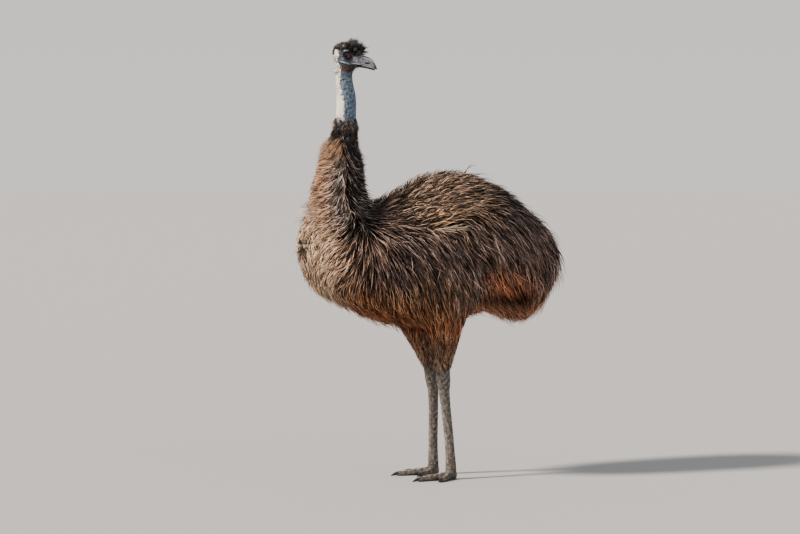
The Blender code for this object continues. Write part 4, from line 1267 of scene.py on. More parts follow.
def lock_mesh(name, path, normal, width, thick, colour, uv, mat, slot):
    """path and normal (n, k, 3), width (n, k - 1), colour (n, k, 3), uv (n, 2)."""
    n, k = path.shape[:2]
    tan = np.empty_like(path)
    tan[:, 0], tan[:, -1] = path[:, 1] - path[:, 0], path[:, -1] - path[:, -2]
    tan[:, 1:-1] = path[:, 2:] - path[:, :-2]
    tan = unit(tan)
    across = unit(np.cross(tan, normal))
    out = np.cross(across, tan)
    w = width[..., None]
    P, B, N = path[:, :-1], across[:, :-1], out[:, :-1]
    rings = np.stack([P - B * w / 2, P + B * w / 2, P + N * w * thick], 2)        # n, k-1, 3, 3
    verts = np.concatenate([rings.reshape(n, -1, 3), path[:, -1:]], 1)
    per = 3 * (k - 1) + 1
    quads, tris = [], []
    for r in range(k - 2):
        for i in range(3):
            j = (i + 1) % 3
            quads.append((3 * r + i, 3 * r + 3 + i, 3 * r + 3 + j, 3 * r + j))
    r = 3 * (k - 2)
    for i in range(3):
        tris.append((r + i, per - 1, r + (i + 1) % 3))
    tris.append((0, 1, 2))
    quads, tris = np.array(quads), np.array(tris)
    off = (np.arange(n) * per)[:, None, None]
    Q, T = (quads[None] + off).reshape(-1, 4), (tris[None] + off).reshape(-1, 3)
    obj = mesh_object(name, verts.reshape(-1, 3), [Q, T])
    col = np.concatenate([np.repeat(colour[:, :-1], 3, axis=1), colour[:, -1:]], 1)
    set_colour(obj, np.clip(col.reshape(-1, 3), 0.003, 1))
    # each lock is a small patch at its root's place on the unwrapped skin
    local = np.zeros((per, 2))
    for v in range(per - 1):
        local[v] = ((v % 3) / 2.0, (v // 3) / (k - 1.0))
    local[per - 1] = (0.5, 1.0)
    patch = uv[:, None, :] + (local - 0.5)[None] * 0.003
    loops = np.concatenate([Q.ravel(), T.ravel()])
    layer = obj.data.uv_layers.new(name="OFBake")
    layer.data.foreach_set("uv", patch.reshape(-1, 2)[loops].astype(np.float32).ravel())
    obj.data.materials.append(mat)
    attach(obj, "root")
    faces = len(Q) * 2 + len(T)
    COAT_FACES[0] += faces
    print(name, n, faces)
    return obj


def spread_uv(u, v):
    """Fits a piece's own part of the unwrap into the unit square."""
    def fit(a):
        return 0.01 + 0.98 * (a - a.min()) / max(np.ptp(a), 1e-6)
    return np.stack([fit(u), fit(v)], 1)


def lay(name, root, kind, *arrays, mat, slot, thick):
    """Makes one piece, or as many as keep each under its share of faces."""
    path, normal, width, colour = arrays
    most = 12300 if path.shape[1] == 4 else 19500
    parts = int(math.ceil(len(root) / most))
    key = root[:, 1] if kind == "trunk" else root[:, 2]
    order = np.argsort(key, kind="stable")
    for i, idx in enumerate(np.array_split(order, parts)):
        r = root[idx]
        if kind == "trunk":
            u, v = np.arctan2(r[:, 0], r[:, 2] - 0.90), r[:, 1]
            if name.startswith(("plume_belly",)):
                u = np.arctan2(r[:, 0], 0.90 - r[:, 2])
        elif kind == "neck":
            u, v = around_neck(r), r[:, 2]
        elif kind == "thigh":
            cx, cy = leg_axis(np.sign(r[0, 0]), r[:, 2])
            u, v = np.arctan2(r[:, 0] - cx, r[:, 1] - cy), r[:, 2]
        else:
            h = to_head(r)
            u, v = np.arctan2(h[:, 1], h[:, 2] + 0.5), h[:, 0]
        tag = name if parts == 1 else f"{name}_{i + 1}"
        lock_mesh(tag, path[idx], normal[idx], width[idx], thick, colour[idx], spread_uv(u, v), mat, slot)


# ================================================================ plumage: the body's feathers
BODY_COUNT = 72500


def body_density(p):
    x, y, z = p.T
    neck = step(0.98, 1.08, z) * step(0.17, 0.11, np.hypot(x, y + 0.42))
    d = 1.0 + 4.6 * neck + 0.9 * (1 - neck) * step(-0.42, -0.50, y) * step(0.68, 0.76, z)
    d = d * (1 + 1.2 * step(0.66, 0.58, z)) * (1 + 0.25 * step(0.30, 0.45, y))
    return d * step(0.452, 0.458, z) * (z < 1.288)


rng = np.random.RandomState(11)
root = scatter(BODY_V, BODY_Q, BODY_COUNT, body_density, rng)
count = len(root)
(_, _), (_, inner_g), neck_w = both_fields(root)
face_n = unit(inner_g)
x, y, z = root.T
ang = around_neck(root)
thigh_w = step(0.655, 0.60, z)
back_w = step(-0.03, 0.05, z - PARTING(y)) * (1 - neck_w)
under_w = np.clip(-face_n[:, 2] - 0.25, 0, 0.5) * 2 * (1 - thigh_w)

small = nearest(root, root[rng.permutation(count)[: count // 9]])
seeds_big = root[rng.permutation(count)[: count // 110]]
big = nearest(root, seeds_big)
n_small, n_big = count // 9, len(seeds_big)
rng = np.random.RandomState(12)
clump_turn, clump_bow = rng.normal(0, 0.10, n_small), rng.normal(0, 0.11, n_small)
big_turn = rng.normal(0, 0.08, n_big)
clump_long = rng.uniform(0.82, 1.18, n_small)

length = (
    0.150 * (1 - neck_w) + 0.080 * neck_w
    + (1 - neck_w) * (0.030 * step(0.15, 0.45, y) * (1 - thigh_w) + 0.012 * step(0.98, 0.90, z) * (1 - thigh_w) - 0.030 * under_w)
)
length = length * (1 - 0.30 * neck_w * step(1.12, 1.27, z)) * (1 - 0.42 * (1 - neck_w) * step(-0.39, -0.47, y) * step(0.72, 0.80, z))
length = length * (1 + 0.45 * neck_w * bell(ang, 0.0, 0.5)) * (1 - 0.12 * back_w)
length = np.where(thigh_w > 0, length * (1 - thigh_w) + thigh_w * (0.030 + 0.055 * step(0.47, 0.62, z)), length)
length = length * rng.uniform(0.72, 1.18, count) * clump_long[small]
top_h = rng.uniform(0.55, 1.02, count)
layer = top_h.copy()                                                      # how near the outside, which sets how much light it catches
stray = rng.uniform(size=count) < 0.035 + 0.09 * step(0.36, 0.46, y)
top_h = np.where(stray, rng.uniform(1.05, 1.30, count), top_h)
turn = clump_turn[small] + big_turn[big] + rng.normal(0, 0.07, count) + np.where(stray, rng.normal(0, 0.25, count), 0)
bow = clump_bow[small] + rng.normal(0, 0.09, count)
# feathers on the neck curl more
bow = bow * (1 + 0.8 * neck_w)
bow = bow * (1 - 0.45 * back_w)
hang = step(0.17, 0.03, z - LOW(np.clip(y, -0.57, 0.52))) * (1 - neck_w) * (1 - thigh_w)
top_h = top_h + 0.10 * hang * rng.uniform(size=count) + 0.08 * neck_w * rng.uniform(size=count)
chest = step(-0.36, -0.46, y) * (1 - neck_w) * (1 - back_w)
top_h = top_h - 0.26 * chest - 0.16 * neck_w * step(0.0, -0.6, ang) - 0.14 * hang
ridge = back_w * step(-0.33, -0.27, y) * step(0.10, 0.02, y) * step(0.14, 0.06, np.abs(x))
risen = rng.uniform(size=count) < 0.34 * ridge
top_h = np.where(risen, rng.uniform(1.08, 1.38, count), top_h)
# ruffled feathers stand off the breast, the neck's front, the left of the back and the ragged lower edge
front = np.maximum(neck_w * step(0.1, -0.7, ang), (1 - neck_w) * step(-0.40, -0.50, y) * step(0.70, 0.78, z)) * (1 - back_w)
lifted = rng.uniform(size=count) < 0.42 * front
top_h = np.where(lifted, top_h.clip(0.7) + rng.uniform(0.08, 0.30, count), top_h)
ruffle = bell(np.linalg.norm((root + np.array([0, 0.05, 0]) - RUFFLE) / np.array([0.12, 0.07, 0.035]), axis=1), 0, 1)
top_h = top_h + 0.55 * ruffle * (x > 0)
spike = np.linalg.norm((root - np.array([0.02, 0.085, 1.13])) / np.array([1, 1, 1.6]), axis=1)
spike = np.argsort(spike)[:5]
top_h[spike] = (2.0, 1.9, 1.8, 1.7, 1.5)
turn[spike], bow[spike] = 0, 0
stray[spike] = True
PATH, NORMAL = grow(root, length, top_h, turn, bow, 0.07)

# gathers each strand towards its clump's middle strand, which leaves dark gaps between
first = np.full(n_small, -1)
first[small[::-1]] = np.arange(count)[::-1]
leader = first[small]
bigfirst = np.full(n_big, -1)
bigfirst[big[::-1]] = np.arange(count)[::-1]
w_t = np.array([0.0, 0.30, 0.75, 1.0])[None, :, None]
pull = (rng.uniform(0.20, 0.60, count) * np.where(stray, 0.1, 1.0))[:, None, None]
guide = PATH[leader] + (root[:, None] - PATH[leader][:, :1]) * 0.25
gap = np.linalg.norm(guide - PATH, axis=2).max(1)[:, None, None]
PATH = PATH + pull * w_t * (guide - PATH) * np.exp(-((gap / 0.035) ** 2))
# tips droop a little and wander
tip = rng.normal(0, 0.0035, (count, 1, 3)) * w_t**1.5
PATH = PATH + tip
hanging = 0.020 * rng.uniform(0, 1, count) ** 4 + 0.034 * bell(y, 0.235, 0.065) * rng.uniform(0, 1, count) ** 1.5
PATH[:, :, 2] -= (0.004 + 0.002 * under_w + hang * hanging)[:, None] * w_t[..., 0] ** 2 * (1 - 0.5 * neck_w)[:, None]


def region_colours(p, ang, neck, thigh, back, under, rng):
    """Light, middle and dark colours of each strand by the region where it grows."""
    x, y, z = p.T
    n = len(p)
    big1 = waves(p, 0.22, 51)
    tan, cream = np.array([0.46, 0.280, 0.190]), np.array([0.82, 0.610, 0.465])
    grey, rust = np.array([0.255, 0.182, 0.154]), np.array([0.60, 0.235, 0.105])
    gold, dim = np.array([0.56, 0.385, 0.275]), np.array([0.165, 0.138, 0.134])
    c = np.tile(grey, (n, 1))
    c = mix3(c, gold, back * step(0.20, 0.02, y + 0.05 * big1) * 0.95)
    c = mix3(c, dim, back * step(0.08, 0.22, y) * 0.85)
    # the breast's tan and cream: partly the plumage's own paler colour, partly painted sunlight
    c = mix3(c, tan, step(-0.26, -0.42, y) * (1 - back) * (1 - neck) * 0.45)
    c = mix3(c, cream * np.array([1.30, 1.24, 1.18]), step(-0.38, -0.49, y) * (1 - back) * (1 - neck) * 0.95)
    hang = step(0.22, 0.06, z - LOW(np.clip(y, -0.57, 0.52)))
    loin = step(0.02, 0.10, y) * step(0.34, 0.26, y) * step(0.95, 0.80, z + 0.03 * big1)
    c = mix3(c, (0.56, 0.315, 0.170), step(-0.48, -0.38, y) * step(0.02, -0.16, y) * step(0.90, 0.78, z + 0.02 * big1) * (1 - thigh) * 0.85)
    # rust along the lower edge and over the loin; along the lower edge it is partly painted warm light reflected from
    # below
    c = mix3(c, rust * np.array([1.0, 1.06, 1.25]) * (1 + 0.10 * loin)[:, None], np.maximum(hang * 0.85 * step(-0.50, -0.34, y), 0.84 * loin) * (1 - thigh) * (1 - neck))
    c = mix3(c, (0.66, 0.410, 0.285), thigh * 0.80)
    c = mix3(c, (0.72, 0.490, 0.350), thigh * step(0.56, 0.47, z) * 0.6)
    # neck: tan left of the parting and round to the throat, black just right of it, partly dark under-plumage and
    # partly painted shade
    nk = np.tile(tan * np.array([0.90, 0.93, 0.93]), (n, 1))
    # cream low on the front of the neck: partly its own colour, partly painted sunlight
    nk = mix3(nk, cream, step(1.14, 1.00, z) * step(-0.5, -1.3, ang) * 0.8)
    nk = mix3(nk, (0.38, 0.315, 0.275), bell(ang, -0.20, 0.30) * 0.95 * step(-0.52, -0.46, y))
    dark = step(-0.04, 0.05, ang) * step(1.75, 1.25, ang) * np.maximum(step(0.955, 0.99, z), step(-0.47, -0.42, y))
    nk = mix3(nk, (0.050, 0.043, 0.041), dark * 0.93)
    nk = mix3(nk, (0.030, 0.026, 0.024), step(1.245, 1.285, z) * step(-0.10, 0.05, ang))
    c = c + (nk - c) * neck[:, None]
    # painted shade in the hollow behind the shoulder, between the back and the side
    hollow = np.exp(-(((y + 0.30) / 0.12) ** 2) - (((z - 1.025) / 0.026) ** 2))
    c = mix3(c, (0.05, 0.044, 0.042), hollow * 0.45)
    return c, dark * neck


COLOUR, neck_dark = region_colours(root, ang, neck_w, thigh_w, back_w, under_w, rng)
clump_light = np.exp(rng.normal(0, 0.40, n_small))
light = np.exp(rng.normal(0, 0.48, count)) * clump_light[small] * np.exp(0.16 * waves(root, 0.10, 55))
light = light * (0.20 + 1.0 * step(0.55, 1.0, np.maximum(layer, top_h)))
dull = rng.uniform(size=count) < 0.31 - 0.15 * front + 0.12 * bell(ang, -0.18, 0.22) * neck_w + 0.24 * back_w
light = np.where(dull, light * 0.12, np.minimum(light, 2.4))
light = light * (1 + 0.10 * (1 - front))
pale = (rng.uniform(size=count) < 0.22 * neck_dark) & ~dull
COLOUR = np.where(pale[:, None], (0.40, 0.34, 0.31), COLOUR)
warm = rng.normal(0, 0.05, count)[:, None] * np.array([1.0, 0.1, -0.9])
along = np.array([0.04, 0.36, 1.0, 1.40])[None, :, None] * np.ones((count, 1, 1))
along = np.where((rng.uniform(size=count) < 0.20)[:, None, None], np.array([0.12, 0.85, 0.75, 0.28])[None, :, None], along)
HUE = np.clip(COLOUR * (1 + warm), 0.004, 1)[:, None, :] * light[:, None, None] * along
# painted shade: plumage that faces downwards is darker
HUE = HUE * (1 - 0.45 * under_w)[:, None, None]
# markings that lie across the strands: painted shade in a fold in the left flank, a painted shadow in the gap over the
# rusty fringe of the rump, a pale streak under the ruffled tuft, the painted shadow under it, and painted shade in the
# line where the neck's feathers part
pz, py, px = PATH[:, :, 2], PATH[:, :, 1], PATH[:, :, 0]
rag = 0.35 * rng.normal(size=count)[:, None]
# painted shade in the fold between flank and thigh
fold = bell((py + 0.115 + 0.010 * np.sin(pz * 40)) / 0.012, 0.0, 1.0) * step(0.645, 0.68, pz) * step(0.90, 0.85, pz)
# painted shadow in the gap between the rump's upper plumage and the fringe below
gap_shadow_band = step(0.06, 0.15, py) * step(0.36, 0.31, py) * bell(pz, 0.690 - 0.03 * (py - 0.22) + 0.012 * rag, 0.010 + 0.014 * step(0.12, 0.28, py))
fringe = step(0.10, 0.16, py) * step(0.42, 0.36, py) * step(0.676, 0.660, pz + 0.010 * rag) * (1 - thigh_w)[:, None]
streak = bell(py, -0.034, 0.042) * bell(pz, 0.965 + 0.04 * (py + 0.034), 0.008) * (px > 0.05)
below = bell(py, -0.030, 0.075) * bell(pz, 0.990, 0.012) * (px > 0.05)
left = (px > 0.05)
# painted shade in two clefts on the breast's left side and in a pit near the shoulder
gash1 = np.exp(-((((py + 0.455) * 0.66 + (pz - 0.936) * 0.75) / 0.040) ** 2) - ((((py + 0.455) * 0.75 - (pz - 0.936) * 0.66) / 0.012) ** 2)) * left
gash2 = np.exp(-((((py + 0.382) * 0.45 + (pz - 0.900) * 0.89) / 0.038) ** 2) - ((((py + 0.382) * 0.89 - (pz - 0.900) * 0.45) / 0.012) ** 2)) * left
pit = np.exp(-(((py + 0.345) / 0.050) ** 2) - (((pz - 1.014 + 0.12 * (py + 0.345)) / 0.017) ** 2)) * left
flat_path = PATH.reshape(-1, 3)
# painted shade along the neck's parting
parting_shade = bell(around_neck(flat_path).reshape(count, 4), 0.02, 0.060) * (neck_w[:, None] > 0.3) * step(1.30, 1.25, pz) * step(0.99, 1.02, pz)
dim_ = (1 - 0.80 * fold) * (1 - 0.93 * gap_shadow_band) * (1 - 0.55 * below) * (1 - 0.85 * gash1) * (1 - 0.85 * gash2) * (1 - 0.85 * pit) * (1 - 0.72 * parting_shade)
HUE = HUE * dim_[..., None]
# the rusty-pink fringe under the rump: partly its own colour, partly painted warm light reflected from below
pinkish = np.where((rng.uniform(size=count) < 0.30)[:, None], np.array([0.72, 0.47, 0.33]), np.array([0.56, 0.255, 0.155]))
HUE = HUE + (pinkish[:, None, :] * np.clip(light, 0.12, 1.5)[:, None, None] * along - HUE) * (0.85 * fringe)[..., None]
HUE = HUE + (np.array([0.60, 0.46, 0.35]) - HUE) * (0.5 * streak * (~dull[:, None]))[..., None]
HUE = HUE * (1 + 0.35 * ruffle * (x > 0))[:, None, None]
HUE = HUE * np.minimum(1.0, 0.86 / HUE.max(axis=2, keepdims=True))

wide = 0.0041 * (1 - neck_w) + 0.0030 * neck_w
wide = wide * (1 - 0.35 * thigh_w) * rng.uniform(0.65, 1.30, count)
WIDTH = wide[:, None] * np.array([0.65, 0.95, 0.66])[None, :]
roll = rng.normal(0, 0.45, count)
T_ = unit(PATH[:, -1] - PATH[:, 0])
NORMAL = NORMAL * np.cos(roll)[:, None, None] + np.cross(T_[:, None], NORMAL) * np.sin(roll)[:, None, None]

which = np.full(count, "plume_flank_left", dtype=object)
lean = face_n[:, 2]
which[x < 0] = "plume_flank_right"
which[y < -0.27] = "plume_breast"
which[(y >= 0.15) & (x >= 0)] = "plume_rump_left"
which[(y >= 0.15) & (x < 0)] = "plume_rump_right"
which[(back_w > 0.5) & (y < 0.15)] = "plume_back"
which[(lean < -0.45) & (thigh_w < 0.5)] = "plume_belly"
which[(thigh_w >= 0.5) & (x >= 0)] = "plume_thigh_left"
which[(thigh_w >= 0.5) & (x < 0)] = "plume_thigh_right"
which[(neck_w > 0.5) & (ang < 0)] = "plume_neck_front"
which[(neck_w > 0.5) & (ang >= 0)] = "plume_neck_back"
for name in sorted(set(which)):
    m = np.flatnonzero(which == name)
    kind = "neck" if "neck" in name else "thigh" if "thigh" in name else "trunk"
    lay(name, root[m], kind, PATH[m], NORMAL[m], WIDTH[m], HUE[m], mat=PLUME_MAT, slot="plumage", thick=0.42)

# the ruffled tuft on the left of the back, and the few pale feathers under it
rng = np.random.RandomState(13)
count = 230
pale = np.arange(count) >= count * 0.93
start = np.where(pale[:, None], np.array([0.20, -0.100, 0.972]), np.array([0.18, -0.120, 1.004])) \
    + rng.normal(0, 1, (count, 3)) * np.where(pale[:, None], np.array([0.0, 0.018, 0.004]), np.array([0.0, 0.026, 0.013]))
root, n0, _, _ = at_level(start, np.full(count, 0.62), 3)
aim = np.where(pale[:, None], np.array([0.05, 1.0, 0.03]), np.array([0.05, 0.90, 0.42])) + rng.normal(0, 0.13, (count, 3)) * np.where(pale[:, None], 0.35, 1.0)
aim = unit(aim - n0 * np.einsum("ij,ij->i", aim, n0)[:, None])
long = rng.uniform(0.085, 0.135, count)[:, None]
off = np.where(pale, rng.uniform(0.012, 0.020, count), rng.uniform(0.016, 0.036, count))[:, None]
curve = rng.normal(0, 0.010, (count, 1)) * np.cross(n0, aim)
PATH = np.stack([root, root + aim * long * 0.35 + n0 * off * 0.62, root + aim * long * 0.70 + n0 * off + curve * 0.5,
                 root + aim * long + n0 * off * 0.85 + curve - np.array([0, 0, 0.010])], 1)
last, _, _, _ = at_level(PATH[:, 3], np.where(pale, 1.03, rng.uniform(1.02, 1.22, count)), 2)
PATH[:, 3] = last
mid, _, _, _ = at_level(PATH[:, 2], np.where(pale, 1.04, rng.uniform(1.00, 1.16, count)), 2)
PATH[:, 2] = mid
near, _, _, _ = at_level(PATH[:, 1], np.full(count, 0.92), 2)
PATH[:, 1] = near
tone = np.exp(rng.normal(0, 0.45, count)) * np.where(rng.uniform(size=count) < 0.50, 0.05, 1.0)
tone = np.where(pale, rng.uniform(0.35, 1.05, count), tone * 1.15)
HUE = np.where(pale[:, None], np.array([0.70, 0.53, 0.40]), np.array([0.74, 0.490, 0.310]))[:, None, :] * tone[:, None, None] \
    * np.array([0.06, 0.55, 1.0, 1.30])[None, :, None]
HUE = HUE * np.minimum(1.0, 0.86 / HUE.max(axis=2, keepdims=True))
WIDTH = (0.0040 * rng.uniform(0.7, 1.2, count))[:, None] * np.array([0.6, 1.0, 0.7])[None, :]
lay("plume_tuft_left", root, "trunk", PATH, np.repeat(n0[:, None], 4, axis=1), WIDTH, HUE, mat=PLUME_MAT, slot="plumage", thick=0.42)


# ================================================================ collar, bare neck and head: fine bristles
def bristles(name, root, direction, normal, length, lie, width, colour, kind, rng, curl=0.15, slot="ruff", thick=0.5, gather=None):
    """Short stiff locks: direction is the way they point, lie is how far they bend down onto the skin.
    gather names each one's leading bristle and how far it leans over to that one's tip."""
    n = len(root)
    d = unit(direction)
    side = np.cross(normal, d)
    p0 = root - normal * 0.0012
    p1 = p0 + (d + normal * lie[:, None] * 0.6 + side * rng.normal(0, curl, n)[:, None]) * (length * 0.5)[:, None]
    p2 = p1 + unit(d - normal * lie[:, None] * 0.35 + side * rng.normal(0, curl, n)[:, None]) * (length * 0.55)[:, None]
    path = np.stack([p0, p1, p2], 1)
    if gather is not None:
        to = path[gather[0]] - path
        path = path + to * gather[1][:, None, None] * np.array([0.0, 0.35, 1.0])[None, :, None]
    w = width[:, None] * np.array([1.0, 0.75])[None]
    normals = np.repeat(normal[:, None], 3, axis=1)
    lay(name, root, kind, path, normals, w, colour, mat=BRISTLE_MAT, slot=slot, thick=thick)


MORE = 1.0
rng = np.random.RandomState(31)

# black ruff between the shaggy neck and the bare one
n = int(8200 * MORE)
root = scatter(HEAD_V, HEAD_Q, n, lambda p: (p[:, 2] < 1.410) * step(1.412, 1.352, p[:, 2] + 0.012 * waves(p, 0.020, 36)) * (p[:, 2] > 1.262), rng)
_, nrm = neck_field(root, NECK_SKIN)
nrm = unit(nrm)
z = root[:, 2]
a = around_neck(root)
th = a + np.radians(NAPE(z))
s = a / np.sqrt(a * a + 0.1**2)
tang = np.stack([-np.sin(th) * s, np.cos(th) * s, 0 * s], 1)
left = step(0.05, -0.15, a)
ragged = 0.010 * waves(root, 0.018, 35)
shaggy = step(1.335, 1.318, z + ragged) * left                       # tan plumage reaches up to here left of the parting
low_end = np.maximum(step(1.36, 1.28, z) * (1 - left), shaggy)
out = 0.46 + 0.15 * low_end + rng.normal(0, 0.16, n) + 0.7 * (rng.uniform(size=n) < 0.10)
d = np.array([0, 0, -1.0]) * 0.80 + tang * (rng.normal(0.30, 0.25, n) + 0.35 * shaggy)[:, None] + nrm * out[:, None]
L = (0.023 + 0.030 * low_end) * rng.uniform(0.65, 1.35, n)
shade = np.exp(rng.normal(0, 0.5, n))
col = np.tile((0.020, 0.018, 0.018), (n, 1)) * shade[:, None]
# brown bristles: a few all through, and more near the collar's top, where they are painted highlights
brown_and_highlight = rng.uniform(size=n) < 0.10 + 0.55 * step(1.358, 1.385, z)
col = np.where(brown_and_highlight[:, None], np.array([0.20, 0.150, 0.122]) * shade[:, None], col)
tan = (rng.uniform(size=n) < shaggy) & (rng.uniform(size=n) < 0.86)
col = np.where(tan[:, None], np.array([0.45, 0.290, 0.195]) * np.clip(shade, 0.18, 1.9)[:, None], col)
pale = (a > 0) & (a < 1.3) & (rng.uniform(size=n) < 0.10)
col = np.where(pale[:, None], np.array([0.36, 0.32, 0.30]), col)
col = col[:, None, :] * np.array([0.45, 1.0, 1.25])[None, :, None]
lead = nearest(root, root[rng.permutation(n)[: n // 7]])
first = np.full(n, -1)
first[lead[::-1]] = np.arange(n)[::-1]
bristles("ruff_collar", root, d, nrm, L, 0.25 * np.ones(n), 0.0020 * rng.uniform(0.7, 1.25, n), col, "neck", rng, gather=(first[lead], rng.uniform(0.1, 0.6, n)))

# fine hairs on the bare neck: black flecks over the blue, cream ones down the nape's side, partly painted sunlight like
# the band under them
n = int(8000 * MORE)
root = scatter(HEAD_V, HEAD_Q, n, lambda p: step(1.35, 1.40, p[:, 2]) * (p[:, 2] < 1.615) * (1 + 1.3 * (np.abs(around_neck(p)) < 1.2)), rng)
_, nrm = neck_field(root, NECK_SKIN)
nrm = unit(nrm)
z = root[:, 2]
a = around_neck(root)
band = pale_nape_band_and_sunlight(root)
white = rng.uniform(size=n) < band * 0.97
edge_dark = band * (1 - band) * 4
d = np.array([0, 0, -1.0]) + nrm * (rng.uniform(0.02, 0.14, n) + 0.10 * step(1.56, 1.60, z))[:, None]
d = d + np.cross(nrm, np.array([0, 0, 1.0])) * rng.normal(0, 0.20, n)[:, None]
L = np.where(white, 0.0095, 0.0100) * rng.uniform(0.6, 1.4, n)
fleck = step(-0.2, 0.9, waves(root, 0.016, 61) + 0.25 * rng.normal(size=n))
keep = white | (rng.uniform(size=n) < 0.18 + 0.75 * fleck)
shade = np.exp(rng.normal(0, 0.22, n))
black = white & (rng.uniform(size=n) < 0.07 + 0.30 * (waves(root, 0.012, 64) > 0.75) + 0.5 * edge_dark)
white = white & ~black
col = np.where(white[:, None], np.array([0.88, 0.80, 0.72]), np.array([0.022, 0.021, 0.024]))
grey = (~white) & (rng.uniform(size=n) < 0.22)
col = np.where(grey[:, None], np.array([0.34, 0.36, 0.38]), col) * shade[:, None]
col = np.repeat(col[:, None, :], 3, axis=1)
W = np.where(white, 0.0013, 0.00085) * rng.uniform(0.7, 1.3, n)
bristles("hair_neck", root[keep], d[keep], nrm[keep], L[keep], 0.10 * np.ones(keep.sum()), W[keep], col[keep], "neck", rng, slot="ruff")

# the head
n = int(14500 * MORE)


def head_density(p):
    h = to_head(p)
    u, v, w = h[:, 0], np.abs(h[:, 1]), h[:, 2]
    crown = crown_weight(h)
    d = 0.55 + 2.1 * crown + 1.6 * crown * step(1.0, 3.5, u) + 1.3 * cream_weight(h) + 0.9 * step(-3.3, -4.2, w)
    bare = np.maximum(step(1.5, 3.0, u) * step(-3.9, -3.2, w), step(1.38, 1.22, lid_edge(u, w - EYE_C[2]) + 1) * (v > 1.3))
    bare = np.maximum(bare, bell(u, 0.05, 1.1) * step(1.4, 1.6, w) * step(2.6, 2.3, w)) * (1 - crown)
    d = d * (1 - 0.93 * bare)
    gape = bell(w, gape_line(u) - 0.2, 0.42) * step(2.6, 1.6, u) * step(-3.6, -3.0, u)
    d = d * (1 - 0.97 * step(3.4, 4.2, u) * step(0.55, 0.10, w))
    return d * (1 - 0.85 * gape) * step(6.3, 5.6, u) * (p[:, 2] > 1.585) * (v < 2.9)


root = scatter(HEAD_V, HEAD_Q, n, head_density, rng)
h = to_head(root)
here = head_or_neck(root)
slope = unit(np.stack([head_or_neck(root + np.eye(3)[k] * 2e-4) - here for k in range(3)], 1))
hn = np.stack([slope[:, 0] * HC + slope[:, 1] * HS, -slope[:, 0] * HS + slope[:, 1] * HC, slope[:, 2]], 1)
u, v, w = h.T
crown = crown_weight(h)
cream = cream_weight(h)
throat = step(-3.4, -4.2, w)
front = step(0.5, 4.0, u)
# over the crown the bristles stand up and fan out, forwards on the forehead
fan = unit(np.stack([u - 2.2, v * 0.42, w + 0.5], 1))
rise = step(-4.6, -1.6, u) * (0.60 + 0.40 * front)                     # the back of the crown and the nape lie flat
flat = np.stack([-np.ones(n), 0 * u, -0.75 * np.ones(n) - 1.1 * step(-1.0, -3.0, u)], 1)
flat = flat - hn * np.einsum("ij,ij->i", flat, hn)[:, None]
flat = unit(flat) + hn * rng.uniform(0.03, 0.22, n)[:, None]
stand = (hn * 0.5 + fan * 0.5) * (1 - front)[:, None] + fan * front[:, None] + np.array([-0.25, 0, 0]) * (1 - front)[:, None]
k = (crown * rise)[:, None]
d = unit(stand) * k + flat * (1 - k) + rng.normal(0, 0.15, (n, 3)) * (0.4 + 0.9 * k)
d = d + np.array([0.25, 0, -0.45]) * (crown * step(2.2, 3.4, u) * step(4.6, 3.8, u) * step(1.6, 0.6, w))[:, None]
# the crown's bristles stand in small tufts
tuft_seed = root[rng.permutation(n)[: max(n // 16, 8)]]
tuft = nearest(root, tuft_seed)
tuft_dir = rng.normal(0, 0.20, (len(tuft_seed), 3))
tuft_long = rng.uniform(0.45, 1.15, len(tuft_seed))
d = d + tuft_dir[tuft] * k
L = 0.0060 + 0.0120 * crown * step(-4.9, -2.6, u) + 0.0235 * crown * step(0.3, 3.2, u) + 0.004 * cream * step(1.0, -0.5, w) + 0.006 * throat
L = L * (1 - 0.55 * step(4.2, 5.4, u) * step(1.6, 0.8, w))
L = L * np.where(crown > 0.5, tuft_long[tuft] * rng.uniform(0.8, 1.12, n), rng.uniform(0.6, 1.25, n))
chief = np.full(len(tuft_seed), -1)
chief[tuft[::-1]] = np.arange(n)[::-1]
gather = (chief[tuft], crown * rise * rng.uniform(0.35, 0.85, n))
dirw = unit(d)
dirw = np.stack([dirw[:, 0] * HC - dirw[:, 1] * HS, dirw[:, 0] * HS + dirw[:, 1] * HC, dirw[:, 2]], 1)
nw = np.stack([hn[:, 0] * HC - hn[:, 1] * HS, hn[:, 0] * HS + hn[:, 1] * HC, hn[:, 2]], 1)
shade = np.exp(rng.normal(0, 0.30, n))
col = np.tile((0.030, 0.027, 0.026), (n, 1))
lively = rng.uniform(size=len(tuft_seed))[tuft]
col = mix3(col, (0.085, 0.068, 0.055), crown * (lively < 0.16))
col = mix3(col, (0.22, 0.195, 0.150), crown * (lively > 0.93) * (rng.uniform(size=n) < 0.7))
col = mix3(col, (0.15, 0.145, 0.16), crown * front * (rng.uniform(size=n) < 0.10))
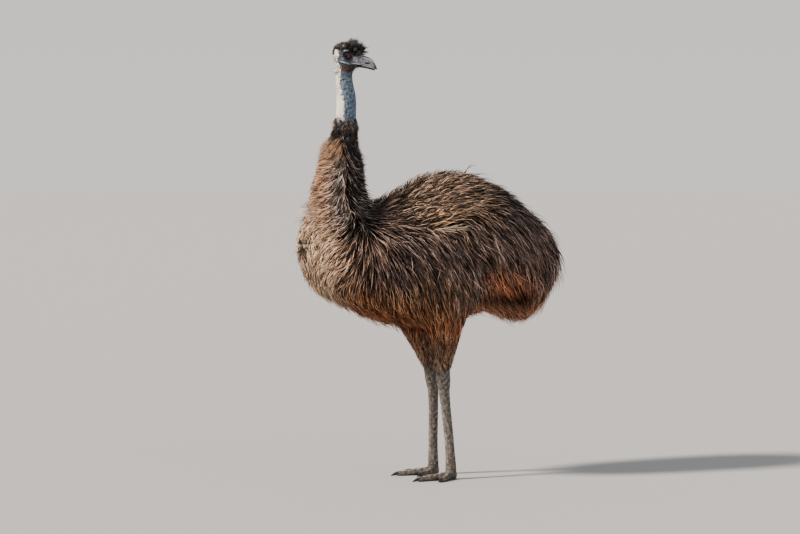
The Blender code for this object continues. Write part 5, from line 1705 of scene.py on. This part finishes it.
side_face = (1 - crown) * (1 - cream)
col = mix3(col, (0.10, 0.10, 0.11), side_face * (rng.uniform(size=n) < 0.45))
col = mix3(col, (0.135, 0.058, 0.030), throat * (rng.uniform(size=n) < 0.8) * (1 - cream))
brow = bell(w, 2.85, 0.50) * step(1.6, 0.6, u) * step(-3.9, -3.0, u)
col = mix3(col, (0.17, 0.105, 0.070), brow * (lively > 0.72) * (rng.uniform(size=n) < 0.6))
col = mix3(col, (0.88, 0.80, 0.72), (rng.uniform(size=n) < cream * 0.93))
col = np.repeat((col * shade[:, None])[:, None, :], 3, axis=1) * np.array([0.75, 1.0, 1.15])[None, :, None]
W = (0.00075 + 0.0006 * crown + 0.0006 * cream) * rng.uniform(0.7, 1.3, n)
bristles("hair_head", root, dirw, nw, L, 0.16 + 0.06 * rng.normal(size=n), W, col, "head", rng, curl=0.10, gather=gather)

# lashes along the upper lid
for side, word in ((1, "left"), (-1, "right")):
    rng = np.random.RandomState(90 + side)
    n = 46
    t = np.linspace(0.12, 0.88, n) + rng.normal(0, 0.008, n)
    ang = math.pi * t
    uu, ww = 1.40 * np.cos(ang) * 1.0, EYE_C[2] + 0.03 + 1.16 * np.sin(ang)
    hn = unit(np.stack([uu * 0.25, np.full(n, 1.0), ww * 0.2], 1))
    vv = np.full(n, 2.62) - 0.06 * uu**2
    h = np.stack([uu, side * vv, ww], 1)
    d = unit(np.stack([0.35 * uu + 0.15 * rng.normal(size=n), side * np.full(n, 0.9), 0.25 + 0.5 * np.sin(ang) + 0.15 * rng.normal(size=n)], 1))
    hn[:, 1] *= side
    turn_ = lambda q: np.stack([q[:, 0] * HC - q[:, 1] * HS, q[:, 0] * HS + q[:, 1] * HC, q[:, 2]], 1)
    col = np.full((n, 3, 3), 0.008)
    bristles(f"lashes_{word}", from_head(h), turn_(d), turn_(hn), 0.0055 * rng.uniform(0.7, 1.2, n), 0.5 * np.ones(n), np.full(n, 0.00075), col, "head", rng, curl=0.1)
print("coat faces", COAT_FACES[0])
